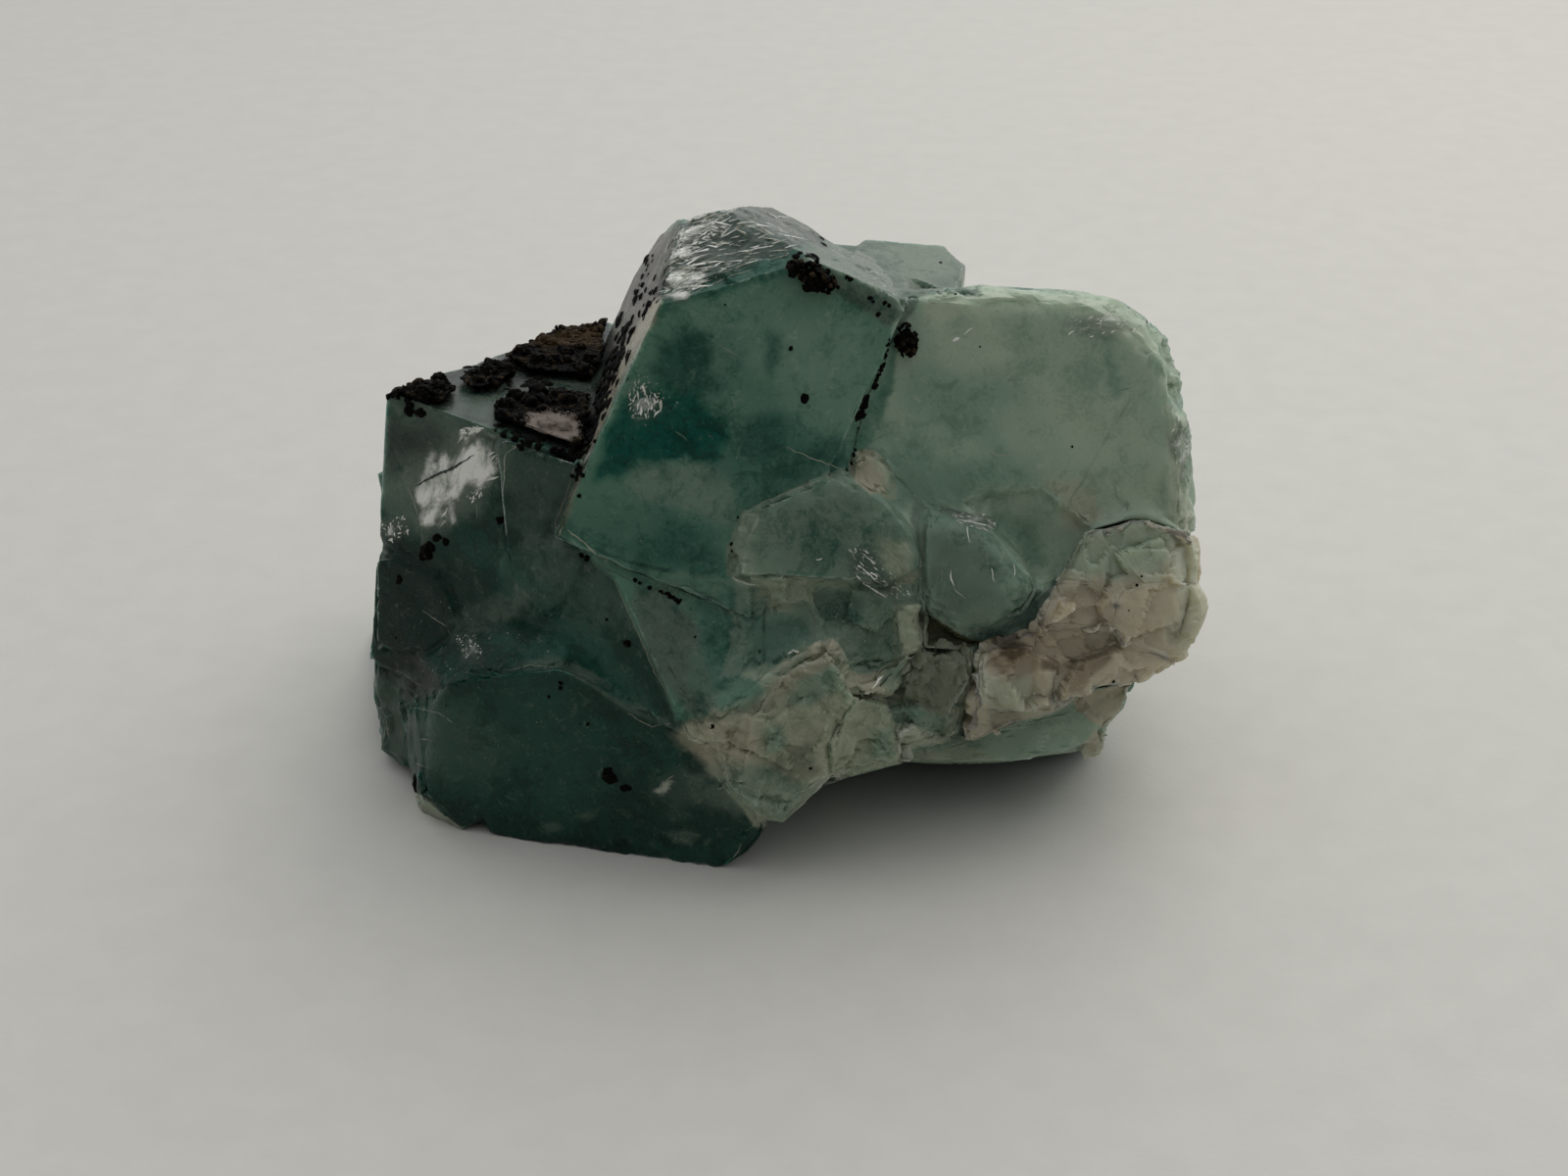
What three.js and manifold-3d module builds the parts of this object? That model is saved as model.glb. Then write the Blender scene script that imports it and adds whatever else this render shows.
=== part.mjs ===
// Cubic fluorite cluster: intergrown green fluorite cubes with a broken, iron-stained quartz mass at the
// lower right and patches of dark oxide crust on the faces.
//
// The forms are described as somebody looking down on the specimen sees them: x to the right, y up and z
// towards the eye, in millimetres. Outlines are traced as [across, down] on a picture 1600 wide and 1200
// high that is taken from the eye. The last step stands the specimen on its base, with +Z up.
import * as THREE from "three";
import { ConvexGeometry } from "three/addons/geometries/ConvexGeometry.js";
import { mergeVertices } from "three/addons/utils/BufferGeometryUtils.js";
import Module from "manifold-3d";

const wasm = await Module();
wasm.setup();

// Driving dimensions
const EYE_DISTANCE = 185;
const EYE_ELEVATION = 30; // degrees above the table
const TABLE_DROP = 20; // height of the traced frame's origin above the table
const PICTURE_MIDDLE = [800, 600];
const PICTURE_FOCUS = 2347;
const FAR = 120; // longer than the specimen, for cutting blocks
const GAP = 0.3; // between two minerals

// Helpers
const radians = (values) => values.map(THREE.MathUtils.degToRad);

function frame({ at = [0, 0, 0], turn = [0, 0, 0] }) {
  const rotation = new THREE.Matrix4().makeRotationFromEuler(new THREE.Euler(...radians(turn)));
  return new THREE.Matrix4().makeTranslation(...at).multiply(rotation);
}

function solidOf(geometry, matrix = new THREE.Matrix4()) {
  const bare = geometry.clone().applyMatrix4(matrix);
  bare.deleteAttribute("normal");
  bare.deleteAttribute("uv");
  const merged = mergeVertices(bare, 1e-4);
  return new wasm.Manifold(
    new wasm.Mesh({
      numProp: 3,
      vertProperties: new Float32Array(merged.attributes.position.array),
      triVerts: new Uint32Array(merged.index.array),
    }),
  );
}

const joined = (solids) => solids.reduce((all, next) => all.add(next));

// A cube-like crystal placed by one of its corners: corner [-1, 1, 1] is its left, upper, front one.
function block({ at, size, turn, corner }) {
  const box = new THREE.BoxGeometry(...size);
  box.translate(...size.map((length, axis) => (-corner[axis] * length) / 2));
  return solidOf(box, frame({ at, turn }));
}

// One face of such a crystal, as a plane
function faceOf({ at, size, turn, corner }, axis, side) {
  const placing = frame({ at, turn });
  const local = new THREE.Vector3();
  local.setComponent(axis, ((side - corner[axis]) * size[axis]) / 2);
  const normal = new THREE.Vector3().setComponent(axis, side).transformDirection(placing);
  return new THREE.Plane().setFromNormalAndCoplanarPoint(normal, local.applyMatrix4(placing));
}

// The plane z = depth + across * x + up * y, facing the eye
function sheet(depth, across = 0, up = 0) {
  const normal = new THREE.Vector3(-across, -up, 1).normalize();
  return new THREE.Plane().setFromNormalAndCoplanarPoint(normal, new THREE.Vector3(0, 0, depth));
}

const shifted = (plane, distance) => plane.clone().translate(plane.normal.clone().multiplyScalar(distance));

// Where the eye sees a traced spot or outline on a plane
function seenOn(plane, [across, down]) {
  const [middleAcross, middleDown] = PICTURE_MIDDLE;
  const aim = new THREE.Vector3(across - middleAcross, middleDown - down, -PICTURE_FOCUS).normalize();
  const sight = new THREE.Ray(new THREE.Vector3(0, 0, EYE_DISTANCE), aim);
  return sight.intersectPlane(plane, new THREE.Vector3());
}

const facet = (plane, outline) => outline.map((spot) => seenOn(plane, spot));

const gem = (...facets) => solidOf(new ConvexGeometry(facets.flat()));

// Everything on the outer side of a plane: subtract it to leave a flat break there.
function beyond(plane) {
  const aim = new THREE.Quaternion().setFromUnitVectors(new THREE.Vector3(0, 0, 1), plane.normal);
  const box = new THREE.BoxGeometry(FAR, FAR, FAR).translate(0, 0, FAR / 2);
  const start = plane.coplanarPoint(new THREE.Vector3());
  return solidOf(box, new THREE.Matrix4().compose(start, aim, new THREE.Vector3(1, 1, 1)));
}

function middleOf(outline) {
  return outline.reduce(([x, y], [u, v]) => [x + u / outline.length, y + v / outline.length], [0, 0]);
}

function scaled(outline, factor) {
  const [x, y] = middleOf(outline);
  return outline.map(([u, v]) => [x + (u - x) * factor, y + (v - y) * factor]);
}

// A chunk with a traced rim: its front is smaller than the rim, and so is its back.
function chunk({ outline, front, bevel = 0.5, inner = 0.9, depth = 8, back = 0.9 }) {
  return gem(
    facet(front, scaled(outline, inner)),
    facet(shifted(front, -bevel), outline),
    facet(shifted(front, -depth), scaled(outline, back)),
  );
}

// From the traced frame to the standing one
const STAND = frame({ at: [0, 0, TABLE_DROP], turn: [90 - EYE_ELEVATION, 0, 0] });

// The plane through three spots, each traced as [across, down] and seen at a depth, with its upper side
// outwards
function breakThrough(...spots) {
  const plane = new THREE.Plane().setFromCoplanarPoints(
    ...spots.map(([across, down, depth]) => seenOn(sheet(depth), [across, down])),
  );
  return plane.normal.y < 0 ? plane.negate() : plane;
}

// Random numbers from 0 to 1 that are the same in every run
function seeded(seed) {
  let state = seed;
  return () => {
    state = (state * 16807) % 2147483647;
    return state / 2147483647;
  };
}

// Spots at even steps along a traced line
function along(line, count) {
  const path = new THREE.CurvePath();
  line.slice(1).forEach(([u, v], i) => {
    path.add(new THREE.LineCurve(new THREE.Vector2(...line[i]), new THREE.Vector2(u, v)));
  });
  return path.getSpacedPoints(count).map(({ x, y }) => [x, y]);
}

// Small angular chips broken out along a traced edge
function chips({ line, plane, count, size, seed }) {
  const random = seeded(seed);
  const bites = along(line, count).map((spot) => {
    const edge = size * (0.35 + 1.3 * random() ** 2);
    const turn = [random() * 90, random() * 90, random() * 90];
    const at = seenOn(shifted(plane, (random() - 0.5) * size), spot);
    return block({ at: at.toArray(), size: [edge, edge, edge], turn, corner: [0, 0, 0] });
  });
  return joined(bites);
}

// Main crystals
const LEFT = { at: [-31.7, 15.7, 1], corner: [-1, 1, 1], size: [34, 24.3, 30], turn: [19.2, -30.7, -8.9] };
const TOP = { at: [-17.6, 3.9, 9], corner: [-1, -1, 1], size: [17.1, 27.5, 29], turn: [16.9, 5, -25.1] };

const RIGHT_FRONT = sheet(5.3, -0.12, 0.27);
const LOW_FRONT = sheet(13, 0.263, 0.55);
const SHOULDER = sheet(4, -0.285, -0.06);

const RIGHT_RIM = [
  [800, 350], [860, 312], [935, 293], [1000, 290], [1100, 295], [1141, 303], [1172, 324], [1192, 345],
  [1203, 370], [1213, 400], [1219, 445], [1220, 480], [1218, 560], [1195, 640], [1100, 690], [920, 680],
  [800, 560],
];
const LOW_RIM = [
  [426, 724], [440, 700], [470, 690], [517, 685], [573, 679], [641, 724], [686, 741], [730, 760],
  [770, 800], [775, 840], [745, 900], [640, 920], [440, 900], [427, 808],
];

function leftCrystal() {
  const steps = [
    { rim: [[383, 640], [382, 700], [384, 724], [600, 800], [640, 640]], behind: 0.4 },
    { rim: [[388, 700], [388, 765], [405, 778], [425, 785], [600, 860], [640, 640]], behind: 0.9 },
  ];
  const front = faceOf(LEFT, 2, 1);
  const ledges = steps.map(({ rim, behind }) =>
    chunk({ outline: rim, front: shifted(front, -behind), inner: 0.99, depth: 24, back: 1 }),
  );
  const recess = [[573, 681], [641, 726], [686, 743], [740, 775], [740, 900], [560, 900]];
  const underside = gem(facet(sheet(20), recess), facet(sheet(1), scaled(recess, 0.96)));
  return joined([block(LEFT), ...ledges]).subtract(beyond(SHOULDER)).subtract(underside);
}

const TOP_BREAKS = [
  breakThrough([676, 302, 12.9], [804, 269, 13.2], [706, 212, 6.9]),
  breakThrough([706, 214, 7], [790, 214, -13], [672, 237, -9]),
  breakThrough([669, 253, -8], [644, 291, -10], [676, 237, -14]),
  breakThrough([838, 246, -14], [938, 296, -14], [880, 290, -26]),
];

function topCrystal() {
  return block(TOP).subtract(joined(TOP_BREAKS.map(beyond)));
}

// The right crystal has a dark, sloping recess beside the rounded one, and broken facets on its far right.
const RECESS_RIM = [
  [1000, 505], [1060, 498], [1088, 520], [1112, 541], [1066, 604], [1040, 625], [1000, 600],
];
const RECESS_FLOOR = sheet(-1, 0.05, 0.68);
const RIGHT_BREAKS = [
  { spot: [1190, 330], depth: -4, normal: [1, 0.9, -0.6] },
  { spot: [1216, 430], depth: -3, normal: [1, 0.15, -0.45] },
  { spot: [1040, 288], depth: -9, normal: [0.2, 1, -0.8] },
];

function rightCrystal() {
  const body = chunk({
    outline: RIGHT_RIM,
    front: RIGHT_FRONT,
    bevel: 2.2,
    inner: 0.92,
    depth: 24,
    back: 0.94,
  });
  const recess = gem(facet(sheet(20), RECESS_RIM), facet(RECESS_FLOOR, RECESS_RIM));
  const breaks = RIGHT_BREAKS.map(({ spot, depth, normal }) => {
    const direction = new THREE.Vector3(...normal).normalize();
    return beyond(new THREE.Plane().setFromNormalAndCoplanarPoint(direction, seenOn(sheet(depth), spot)));
  });
  return body.subtract(recess).subtract(joined(breaks));
}

function lowCrystal() {
  const body = chunk({ outline: LOW_RIM, front: LOW_FRONT, bevel: 0.8, inner: 0.97, depth: 14, back: 1.1 });
  const left = faceOf(LEFT, 2, 1);
  const shelf = gem(
    facet(shifted(LOW_FRONT, -0.8), [[436, 706], [472, 688], [517, 684], [571, 679]]),
    facet(shifted(left, -0.3), [[430, 670], [465, 645], [535, 634], [588, 656]]),
    facet(shifted(left, -8), [[430, 760], [465, 645], [535, 634], [600, 760]]),
  );
  const corner = breakThrough([425, 800, -3.8], [432, 850, -10.5], [483, 858, -5.3]).negate();
  return joined([body, shelf]).subtract(beyond(corner));
}

// Smaller crystals and broken pieces in the middle, from the upper left to the lower right
const CORE_RIM = [[700, 480], [1000, 480], [1010, 700], [960, 750], [850, 790], [760, 815], [690, 700]];
const PIECES = [
  {
    outline: [
      [750, 555], [762, 520], [800, 505], [862, 481], [895, 500], [932, 545], [943, 578], [905, 600],
      [748, 590],
    ],
    front: sheet(7.3, -0.03, 0.2),
  },
  {
    outline: [
      [750, 588], [905, 596], [940, 588], [935, 640], [928, 672], [885, 700], [800, 716], [735, 712],
    ],
    front: sheet(6, -0.05, 0.2),
  },
  { outline: [[778, 590], [827, 592], [825, 620], [780, 618]], front: sheet(6.9, -0.05, 0.2) },
  { outline: [[914, 618], [944, 612], [942, 664], [916, 677]], front: sheet(7.2, -0.05, 0.2) },
  {
    outline: [
      [942, 530], [950, 520], [985, 529], [1015, 540], [1035, 565], [1052, 590], [1056, 602], [1045, 622],
      [1020, 635], [990, 645], [975, 642], [945, 622], [940, 570],
    ],
    front: sheet(8.2, -0.1, 0.1),
    bevel: 1.6,
    inner: 0.72,
  },
  {
    outline: [[868, 470], [878, 463], [895, 465], [911, 482], [909, 506], [890, 500], [872, 488]],
    front: sheet(6.1, -0.12, 0.27),
  },
  {
    outline: [
      [715, 742], [766, 733], [780, 702], [804, 670], [848, 655], [873, 685], [878, 710], [863, 726],
      [845, 759], [848, 797], [822, 814], [800, 838], [775, 838], [745, 800], [715, 760],
    ],
    front: sheet(10.2, 0, 0.33),
  },
  {
    outline: [
      [878, 708], [914, 690], [909, 715], [919, 741], [924, 779], [848, 799], [845, 759], [863, 726],
    ],
    front: sheet(9, -0.1, 0.33),
  },
  {
    outline: [
      [911, 695], [942, 659], [990, 662], [990, 695], [975, 749], [950, 754], [916, 738], [909, 715],
    ],
    front: sheet(9.6, -0.1, 0.33),
    bevel: 1.2,
    inner: 0.78,
  },
  {
    outline: [[1096, 700], [1156, 692], [1150, 711], [1146, 723], [1128, 742], [1112, 742]],
    front: sheet(4, -0.12, 0.25),
  },
];

function middlePieces() {
  const core = chunk({ outline: CORE_RIM, front: sheet(4, -0.1, 0.1), depth: 20 });
  return joined([core, ...PIECES.map((piece) => chunk(piece))]);
}

// The thin slab under the quartz, clear of the table
const FLAP_RIM = [
  [923, 778], [930, 735], [1000, 705], [1090, 695], [1124, 728], [1128, 748], [1122, 758], [1098, 767],
  [1039, 771], [1022, 778], [980, 780],
];
const FLAP_TAIL = [[1100, 752], [1118, 745], [1129, 752], [1128, 775], [1105, 776]];

function flap() {
  return joined([
    chunk({ outline: FLAP_RIM, front: sheet(-1.5), bevel: 0.9, inner: 0.95, depth: 24, back: 0.97 }),
    chunk({ outline: FLAP_TAIL, front: sheet(-2.2), bevel: 0.4, inner: 0.9, depth: 3 }),
  ]);
}

// The far side, in the standing frame: X to the right, Y away from the eye, Z up from the table
const FAR_CRYSTALS = [
  { at: [8, 35, 36], corner: [0, 1, 1], size: [17, 17, 26], turn: [-3, 2, -8] },
  { at: [-19, 30, 22], corner: [0, 1, 1], size: [17, 18, 24], turn: [3, -3, -31] },
  { at: [17, 31, 21], corner: [0, 1, 1], size: [17, 16, 24], turn: [-4, 6, 14] },
  { at: [-3, 37, 15], corner: [0, 1, 1], size: [13, 16, 18], turn: [2, 3, -17] },
  { at: [29, 23, 22], corner: [0, 1, 1], size: [9, 12, 11], turn: [5, 8, -30] },
];
const BODY_LEVELS = [
  [[-24, 4, -2], [-20, 27, -2], [-6, 31, -2], [12, 28, -2], [17, 16, -2], [13, 7, -2], [-4, -2, -2]],
  [[-30, 8, 14], [-24, 28, 14], [-4, 33, 14], [18, 30, 14], [26, 20, 14], [24, 4, 14], [-4, -5, 14]],
  [[-22, 10, 30], [-16, 26, 30], [0, 30, 30], [18, 28, 30], [24, 18, 30], [16, 6, 30]],
];

function farSide() {
  const body = solidOf(new ConvexGeometry(BODY_LEVELS.flat().map((spot) => new THREE.Vector3(...spot))));
  const lying = STAND.clone().invert();
  return joined([body, ...FAR_CRYSTALS.map(block)]).transform(lying.elements);
}

// Quartz
const SOCKET_RIM = [
  [983, 757], [990, 700], [993, 664], [1020, 652], [1050, 643], [1073, 597], [1108, 542], [1160, 527],
  [1216, 546], [1250, 546], [1260, 640], [1240, 680], [1153, 700], [1120, 704], [1085, 718], [1030, 743],
];
const SOCKET_FLOOR = -9;
const QUARTZ_FRONT = sheet(6.5, -0.12, 0.25);
const QUARTZ_BODY = [
  [1040, 640], [1066, 600], [1106, 540], [1160, 525], [1218, 545], [1219, 620], [1200, 665], [1150, 700],
  [1085, 715], [1030, 740], [985, 752], [990, 655],
];
const QUARTZ_BLOCKS = [
  {
    rise: 0.1,
    outline: [
      [1062, 612], [1082, 575], [1106, 540], [1160, 525], [1221, 545], [1222, 575], [1220, 616],
      [1138, 618],
    ],
  },
  { rise: 0.8, outline: [[1074, 592], [1131, 597], [1143, 635], [1100, 645], [1050, 640], [1062, 610]] },
  {
    rise: 0.9,
    outline: [
      [1143, 606], [1173, 596], [1219, 597], [1226, 613], [1222, 630], [1205, 667], [1190, 670],
      [1150, 655], [1131, 635],
    ],
  },
  { rise: 0.2, outline: [[1049, 635], [1100, 645], [1133, 650], [1133, 684], [1078, 690], [1060, 665]] },
  { rise: 1, outline: [[991, 662], [1049, 660], [1078, 676], [1078, 716], [1040, 724], [1000, 718]] },
  { rise: 0.5, outline: [[1078, 679], [1133, 660], [1190, 670], [1160, 697], [1120, 706], [1078, 713]] },
  { rise: -0.2, outline: [[1003, 719], [1039, 714], [1085, 712], [1039, 742], [985, 752], [990, 718]] },
];

// The hollow that the quartz fills, or the slightly smaller room that leaves the gap
function socket(gap) {
  const shape = new THREE.Shape(facet(sheet(0), SOCKET_RIM).map(({ x, y }) => new THREE.Vector2(x, y)));
  const prism = new THREE.ExtrudeGeometry(shape, {
    depth: FAR,
    bevelThickness: 1,
    bevelSize: 0,
    bevelOffset: -gap,
    bevelSegments: 1,
  });
  return solidOf(prism.translate(0, 0, SOCKET_FLOOR + gap + 1));
}

function quartz() {
  const body = chunk({ outline: QUARTZ_BODY, front: shifted(QUARTZ_FRONT, -1), depth: 14, back: 0.8 });
  const blocks = QUARTZ_BLOCKS.map(({ outline, rise }) =>
    chunk({ outline, front: shifted(QUARTZ_FRONT, rise), bevel: 0.5, inner: 0.88, depth: 8 }),
  );
  return joined([body, ...blocks]).intersect(socket(GAP));
}

// Thin growth layers on the left and low crystals
const LAYERS = [
  { rise: 0.3, outline: [[384, 560], [452, 590], [470, 640], [430, 668], [383, 664]] },
  {
    rise: 0.25,
    outline: [[505, 445], [596, 474], [560, 548], [600, 575], [560, 640], [520, 600], [512, 500]],
  },
];

const BREAKS = [
  {
    line: [[1140, 300], [1190, 338], [1212, 398], [1220, 480], [1220, 560]],
    plane: shifted(RIGHT_FRONT, -2.6),
    count: 11,
    size: 1.9,
    seed: 7,
  },
  {
    line: [[935, 292], [1040, 290], [1140, 300]],
    plane: shifted(RIGHT_FRONT, -3),
    count: 7,
    size: 1.4,
    seed: 19,
  },
  {
    line: [[690, 240], [712, 212], [752, 206], [828, 221], [838, 247], [935, 296]],
    plane: sheet(4),
    count: 12,
    size: 1.3,
    seed: 31,
  },
  { line: [[427, 806], [440, 850], [483, 862]], plane: sheet(-4), count: 4, size: 1.3, seed: 43 },
  { line: [[378, 520], [378, 664]], plane: sheet(-2), count: 4, size: 1.1, seed: 57 },
];

function fluorite() {
  const layers = LAYERS.map(({ rise, outline }) =>
    chunk({ outline, front: shifted(faceOf(LEFT, 2, 1), rise), bevel: 0.15, inner: 0.97, depth: 3 }),
  );
  const grown = joined([
    leftCrystal(),
    topCrystal(),
    rightCrystal(),
    lowCrystal(),
    middlePieces(),
    flap(),
    farSide(),
    ...layers,
  ]);
  return grown.subtract(socket(0)).subtract(joined(BREAKS.map(chips)));
}

// Oxide crust: rough patches that lie on the crystal faces
const CRUSTS = [
  {
    name: "crust_main",
    plane: faceOf(LEFT, 1, 1),
    outline: [
      [505, 414], [520, 402], [548, 399], [575, 398], [600, 402], [599, 430], [594, 455], [560, 444],
      [530, 431], [508, 424],
    ],
    walls: [faceOf(TOP, 0, -1)],
    lumps: 18,
    seed: 11,
  },
  {
    name: "crust_upper",
    plane: faceOf(LEFT, 1, 1),
    outline: [
      [516, 362], [548, 346], [572, 336], [603, 331], [621, 330], [621, 352], [616, 376], [598, 383],
      [578, 374], [556, 378], [536, 374],
    ],
    walls: [faceOf(TOP, 0, -1)],
    lumps: 20,
    seed: 67,
  },
  {
    name: "crust_corner",
    plane: faceOf(LEFT, 1, 1),
    outline: [[404, 398], [425, 391], [452, 386], [464, 396], [452, 408], [430, 404]],
    lumps: 9,
    seed: 23,
  },
  {
    name: "crust_edge",
    plane: faceOf(LEFT, 1, 1),
    outline: [[470, 386], [500, 371], [520, 366], [524, 378], [504, 392], [482, 395]],
    lumps: 8,
    seed: 37,
  },
  {
    name: "crust_crest",
    plane: faceOf(TOP, 2, 1),
    outline: [[808, 271], [828, 278], [846, 289], [840, 298], [824, 291], [811, 282]],
    lumps: 9,
    seed: 41,
  },
  {
    name: "crust_seam",
    plane: RIGHT_FRONT,
    outline: [[914, 338], [924, 330], [936, 342], [934, 358], [926, 362], [918, 350]],
    lumps: 6,
    seed: 53,
  },
];
const CRUST_THICKNESS = 0.5;
const LUMP_RADIUS = 0.75;

function crust({ plane, outline, walls = [], lumps, seed }) {
  const random = seeded(seed);
  const middle = middleOf(outline);
  const layer = gem(
    facet(shifted(plane, GAP), outline),
    facet(shifted(plane, GAP + CRUST_THICKNESS), scaled(outline, 0.94)),
  );
  const heaps = Array.from({ length: lumps }, (_, i) => {
    const rim = outline[i % outline.length];
    const reach = Math.sqrt(random()) * 0.92;
    const spot = middle.map((value, axis) => value + (rim[axis] - value) * reach);
    const radius = LUMP_RADIUS * (0.7 + 0.6 * random());
    const lump = new THREE.IcosahedronGeometry(radius, 0).rotateZ(random() * 3).rotateX(random() * 3);
    const at = seenOn(shifted(plane, GAP + CRUST_THICKNESS * 0.8), spot).toArray();
    return solidOf(lump, frame({ at }));
  });
  const faces = [plane, ...walls].map((face) => beyond(shifted(face, GAP).negate()));
  return joined([layer, ...heaps]).subtract(joined(faces));
}

// The standing group, with the middle of its footprint at the origin
const PIECES_OF_GROUP = [
  { name: "fluorite_cluster", solid: fluorite(), colour: 0x3f6b5c, roughness: 0.3 },
  { name: "quartz_matrix", solid: quartz(), colour: 0x9c8f7c, roughness: 0.6 },
  ...CRUSTS.map((patch) => ({ name: patch.name, solid: crust(patch), colour: 0x2b1d14, roughness: 0.9 })),
];

function standing(solid) {
  const table = new THREE.Plane(new THREE.Vector3(0, 0, -1), 0);
  return solid.transform(STAND.elements).subtract(beyond(table));
}

function meshOf({ name, solid, colour, roughness }) {
  const { vertProperties, triVerts, numProp } = solid.getMesh();
  const points = new Float32Array((vertProperties.length / numProp) * 3);
  for (let i = 0; i < points.length / 3; i += 1) {
    points.set(vertProperties.subarray(i * numProp, i * numProp + 3), i * 3);
  }
  const geometry = new THREE.BufferGeometry();
  geometry.setAttribute("position", new THREE.BufferAttribute(points, 3));
  geometry.setIndex(new THREE.BufferAttribute(triVerts, 1));
  const mesh = new THREE.Mesh(geometry, new THREE.MeshStandardMaterial({ color: colour, roughness }));
  mesh.name = name;
  return mesh;
}

const group = new THREE.Group();
group.name = "cubic_fluorite_cluster";
group.add(...PIECES_OF_GROUP.map((piece) => meshOf({ ...piece, solid: standing(piece.solid) })));
const middle = new THREE.Box3().setFromObject(group).getCenter(new THREE.Vector3());
group.children.forEach((mesh) => mesh.geometry.translate(-middle.x, -middle.y, 0));

export default group;
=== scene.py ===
"""Dresses the cubic fluorite cluster: clouded green crystals, a stained quartz mass and dark oxide crust.

Shapes are worked out in millimetres as the eye sees them, in the traced frame: x to the right, y up and z
towards the eye. They are turned into metres in the frame of the part when a mesh is written. A spot given as
(across, down) is traced on a picture 1600 wide and 1200 high that is taken from the eye. A path is a text of
such spots, each written as across,down.
"""
import logging
import math
import random
from collections.abc import Callable, Iterable, Sequence
from dataclasses import dataclass, field
from enum import Enum
from typing import Any

import bmesh
import bpy
import numpy as np
from mathutils import Matrix, Vector, noise
from mathutils.bvhtree import BVHTree


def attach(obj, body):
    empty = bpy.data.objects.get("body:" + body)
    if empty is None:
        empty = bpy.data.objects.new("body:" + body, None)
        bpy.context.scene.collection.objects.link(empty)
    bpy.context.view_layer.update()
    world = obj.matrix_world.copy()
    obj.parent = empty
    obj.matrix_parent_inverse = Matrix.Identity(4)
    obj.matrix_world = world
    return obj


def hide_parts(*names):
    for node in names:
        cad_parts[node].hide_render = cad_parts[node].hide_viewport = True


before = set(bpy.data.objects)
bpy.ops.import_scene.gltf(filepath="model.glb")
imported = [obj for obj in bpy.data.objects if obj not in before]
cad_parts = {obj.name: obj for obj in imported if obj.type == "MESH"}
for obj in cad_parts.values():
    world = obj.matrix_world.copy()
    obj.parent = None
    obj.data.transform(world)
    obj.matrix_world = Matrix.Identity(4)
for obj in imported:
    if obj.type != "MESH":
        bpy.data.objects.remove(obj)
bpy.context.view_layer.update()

MM = 0.001
BODY = "root"
PICTURE = (1600, 1200)
SENSOR_WIDTH = 36.0
TINY = 1e-12
RIM_REACH = 1  # this and the next two are steps of a sight map's grid
CLEFT_REACH = 4
LEVEL_REACH = 3
INNER_SHARE = (0.6, 0.95)  # how much around a spot is covered where it is at a rim and where it is inside
SHOWN_DEPTH = (-2.0, -1.0)  # mm from the front where a point is hidden and where it is seen
PATCH_RIM = (1.2, 0.65)  # where a patch ends and where it is full, in reaches
PATCH_NOISE = 0.35
FACE_KEYS = (40.0, 4.0)  # how finely directions and places tell crystal faces apart
FADE = 0.85  # what is left of a value at the next neighbour that it spreads to
LIFT = 0.96  # how much of a cleft's depth is closed
EVENING_ROUNDS = 3

Array = np.ndarray
Socket = bpy.types.NodeSocket
Pair = tuple[float, float]
Triple = tuple[float, float, float]
Layers = tuple[Triple, ...]  # height and width in mm, and the seed of each layer

log = logging.getLogger("fluorite")


@dataclass(frozen=True)
class Eye:
    """The place that the specimen is seen and traced from."""

    origin: Triple = (2.3163, -13.4079, 20.0)  # the traced frame's origin in the part, in mm
    distance: float = 185.0
    elevation: float = 30.0
    focus: float = 2347.0  # in the picture's pixels

    def axes(self) -> Array:
        """The traced frame's x, y and z axes in the frame of the part, one to a row."""
        low, high = math.sin(math.radians(self.elevation)), math.cos(math.radians(self.elevation))
        return np.array([[1.0, 0.0, 0.0], [0.0, low, high], [0.0, -high, low]])

    def to_part(self, points: Array) -> Array:
        """Traced points, in mm, as points of the part, in metres."""
        return (points @ self.axes() + np.array(self.origin)) * MM

    def to_traced(self, points: Array) -> Array:
        """Points of the part, in metres, as traced points, in mm."""
        return (points / MM - np.array(self.origin)) @ self.axes().T

    def picture(self, points: Array) -> Array:
        """Where traced points are seen on the picture, as (across, down)."""
        scale = self.focus / (self.distance - points[:, 2])
        return np.column_stack([PICTURE[0] / 2 + points[:, 0] * scale, PICTURE[1] / 2 - points[:, 1] * scale])

    def aim(self, across: float, down: float) -> tuple[Vector, Vector]:
        """The start and direction of the line of sight through a spot of the picture.

        Args:
            across: Distance from the picture's left edge.
            down: Distance from the picture's top edge.

        Returns:
            The eye and the unit direction, in the traced frame.
        """
        direction = Vector((across - PICTURE[0] / 2, PICTURE[1] / 2 - down, -self.focus))
        return Vector((0.0, 0.0, self.distance)), direction.normalized()


EYE = Eye()


def clouds(points: Array, size: float, octaves: int = 4, seed: float = 0.0) -> Array:
    """Fractal noise at each point, from about -1 to 1.

    Args:
        points: Traced points.
        size: Width of the largest features.
        octaves: Number of ever finer layers.
        seed: Shifts the pattern.

    Returns:
        One value for each point.
    """
    shift = Vector((seed, -seed, 2.0 * seed))
    return np.array([noise.fractal(Vector(point) / size + shift, 1.0, 2.0, octaves) for point in points])


def facets(points: Array, size: float, seed: float = 0.0) -> Array:
    """Heights of flat facets that each lean another way, from about -0.5 to 0.5.

    Args:
        points: Traced points.
        size: Width of one facet.
        seed: Shifts the pattern.

    Returns:
        One height for each point.
    """
    shift = Vector((seed, 3.0 * seed, -seed))
    even = Vector((0.5, 0.5, 0.5))
    heights = []
    for point in points:
        place = Vector(point) / size + shift
        centre = noise.voronoi(place)[1][0]
        lean = noise.cell_vector(centre * 7.3) - even
        heights.append((place - centre).dot(lean) + 0.4 * (noise.cell(centre * 5.1) - 0.5))
    return np.array(heights)


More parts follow.
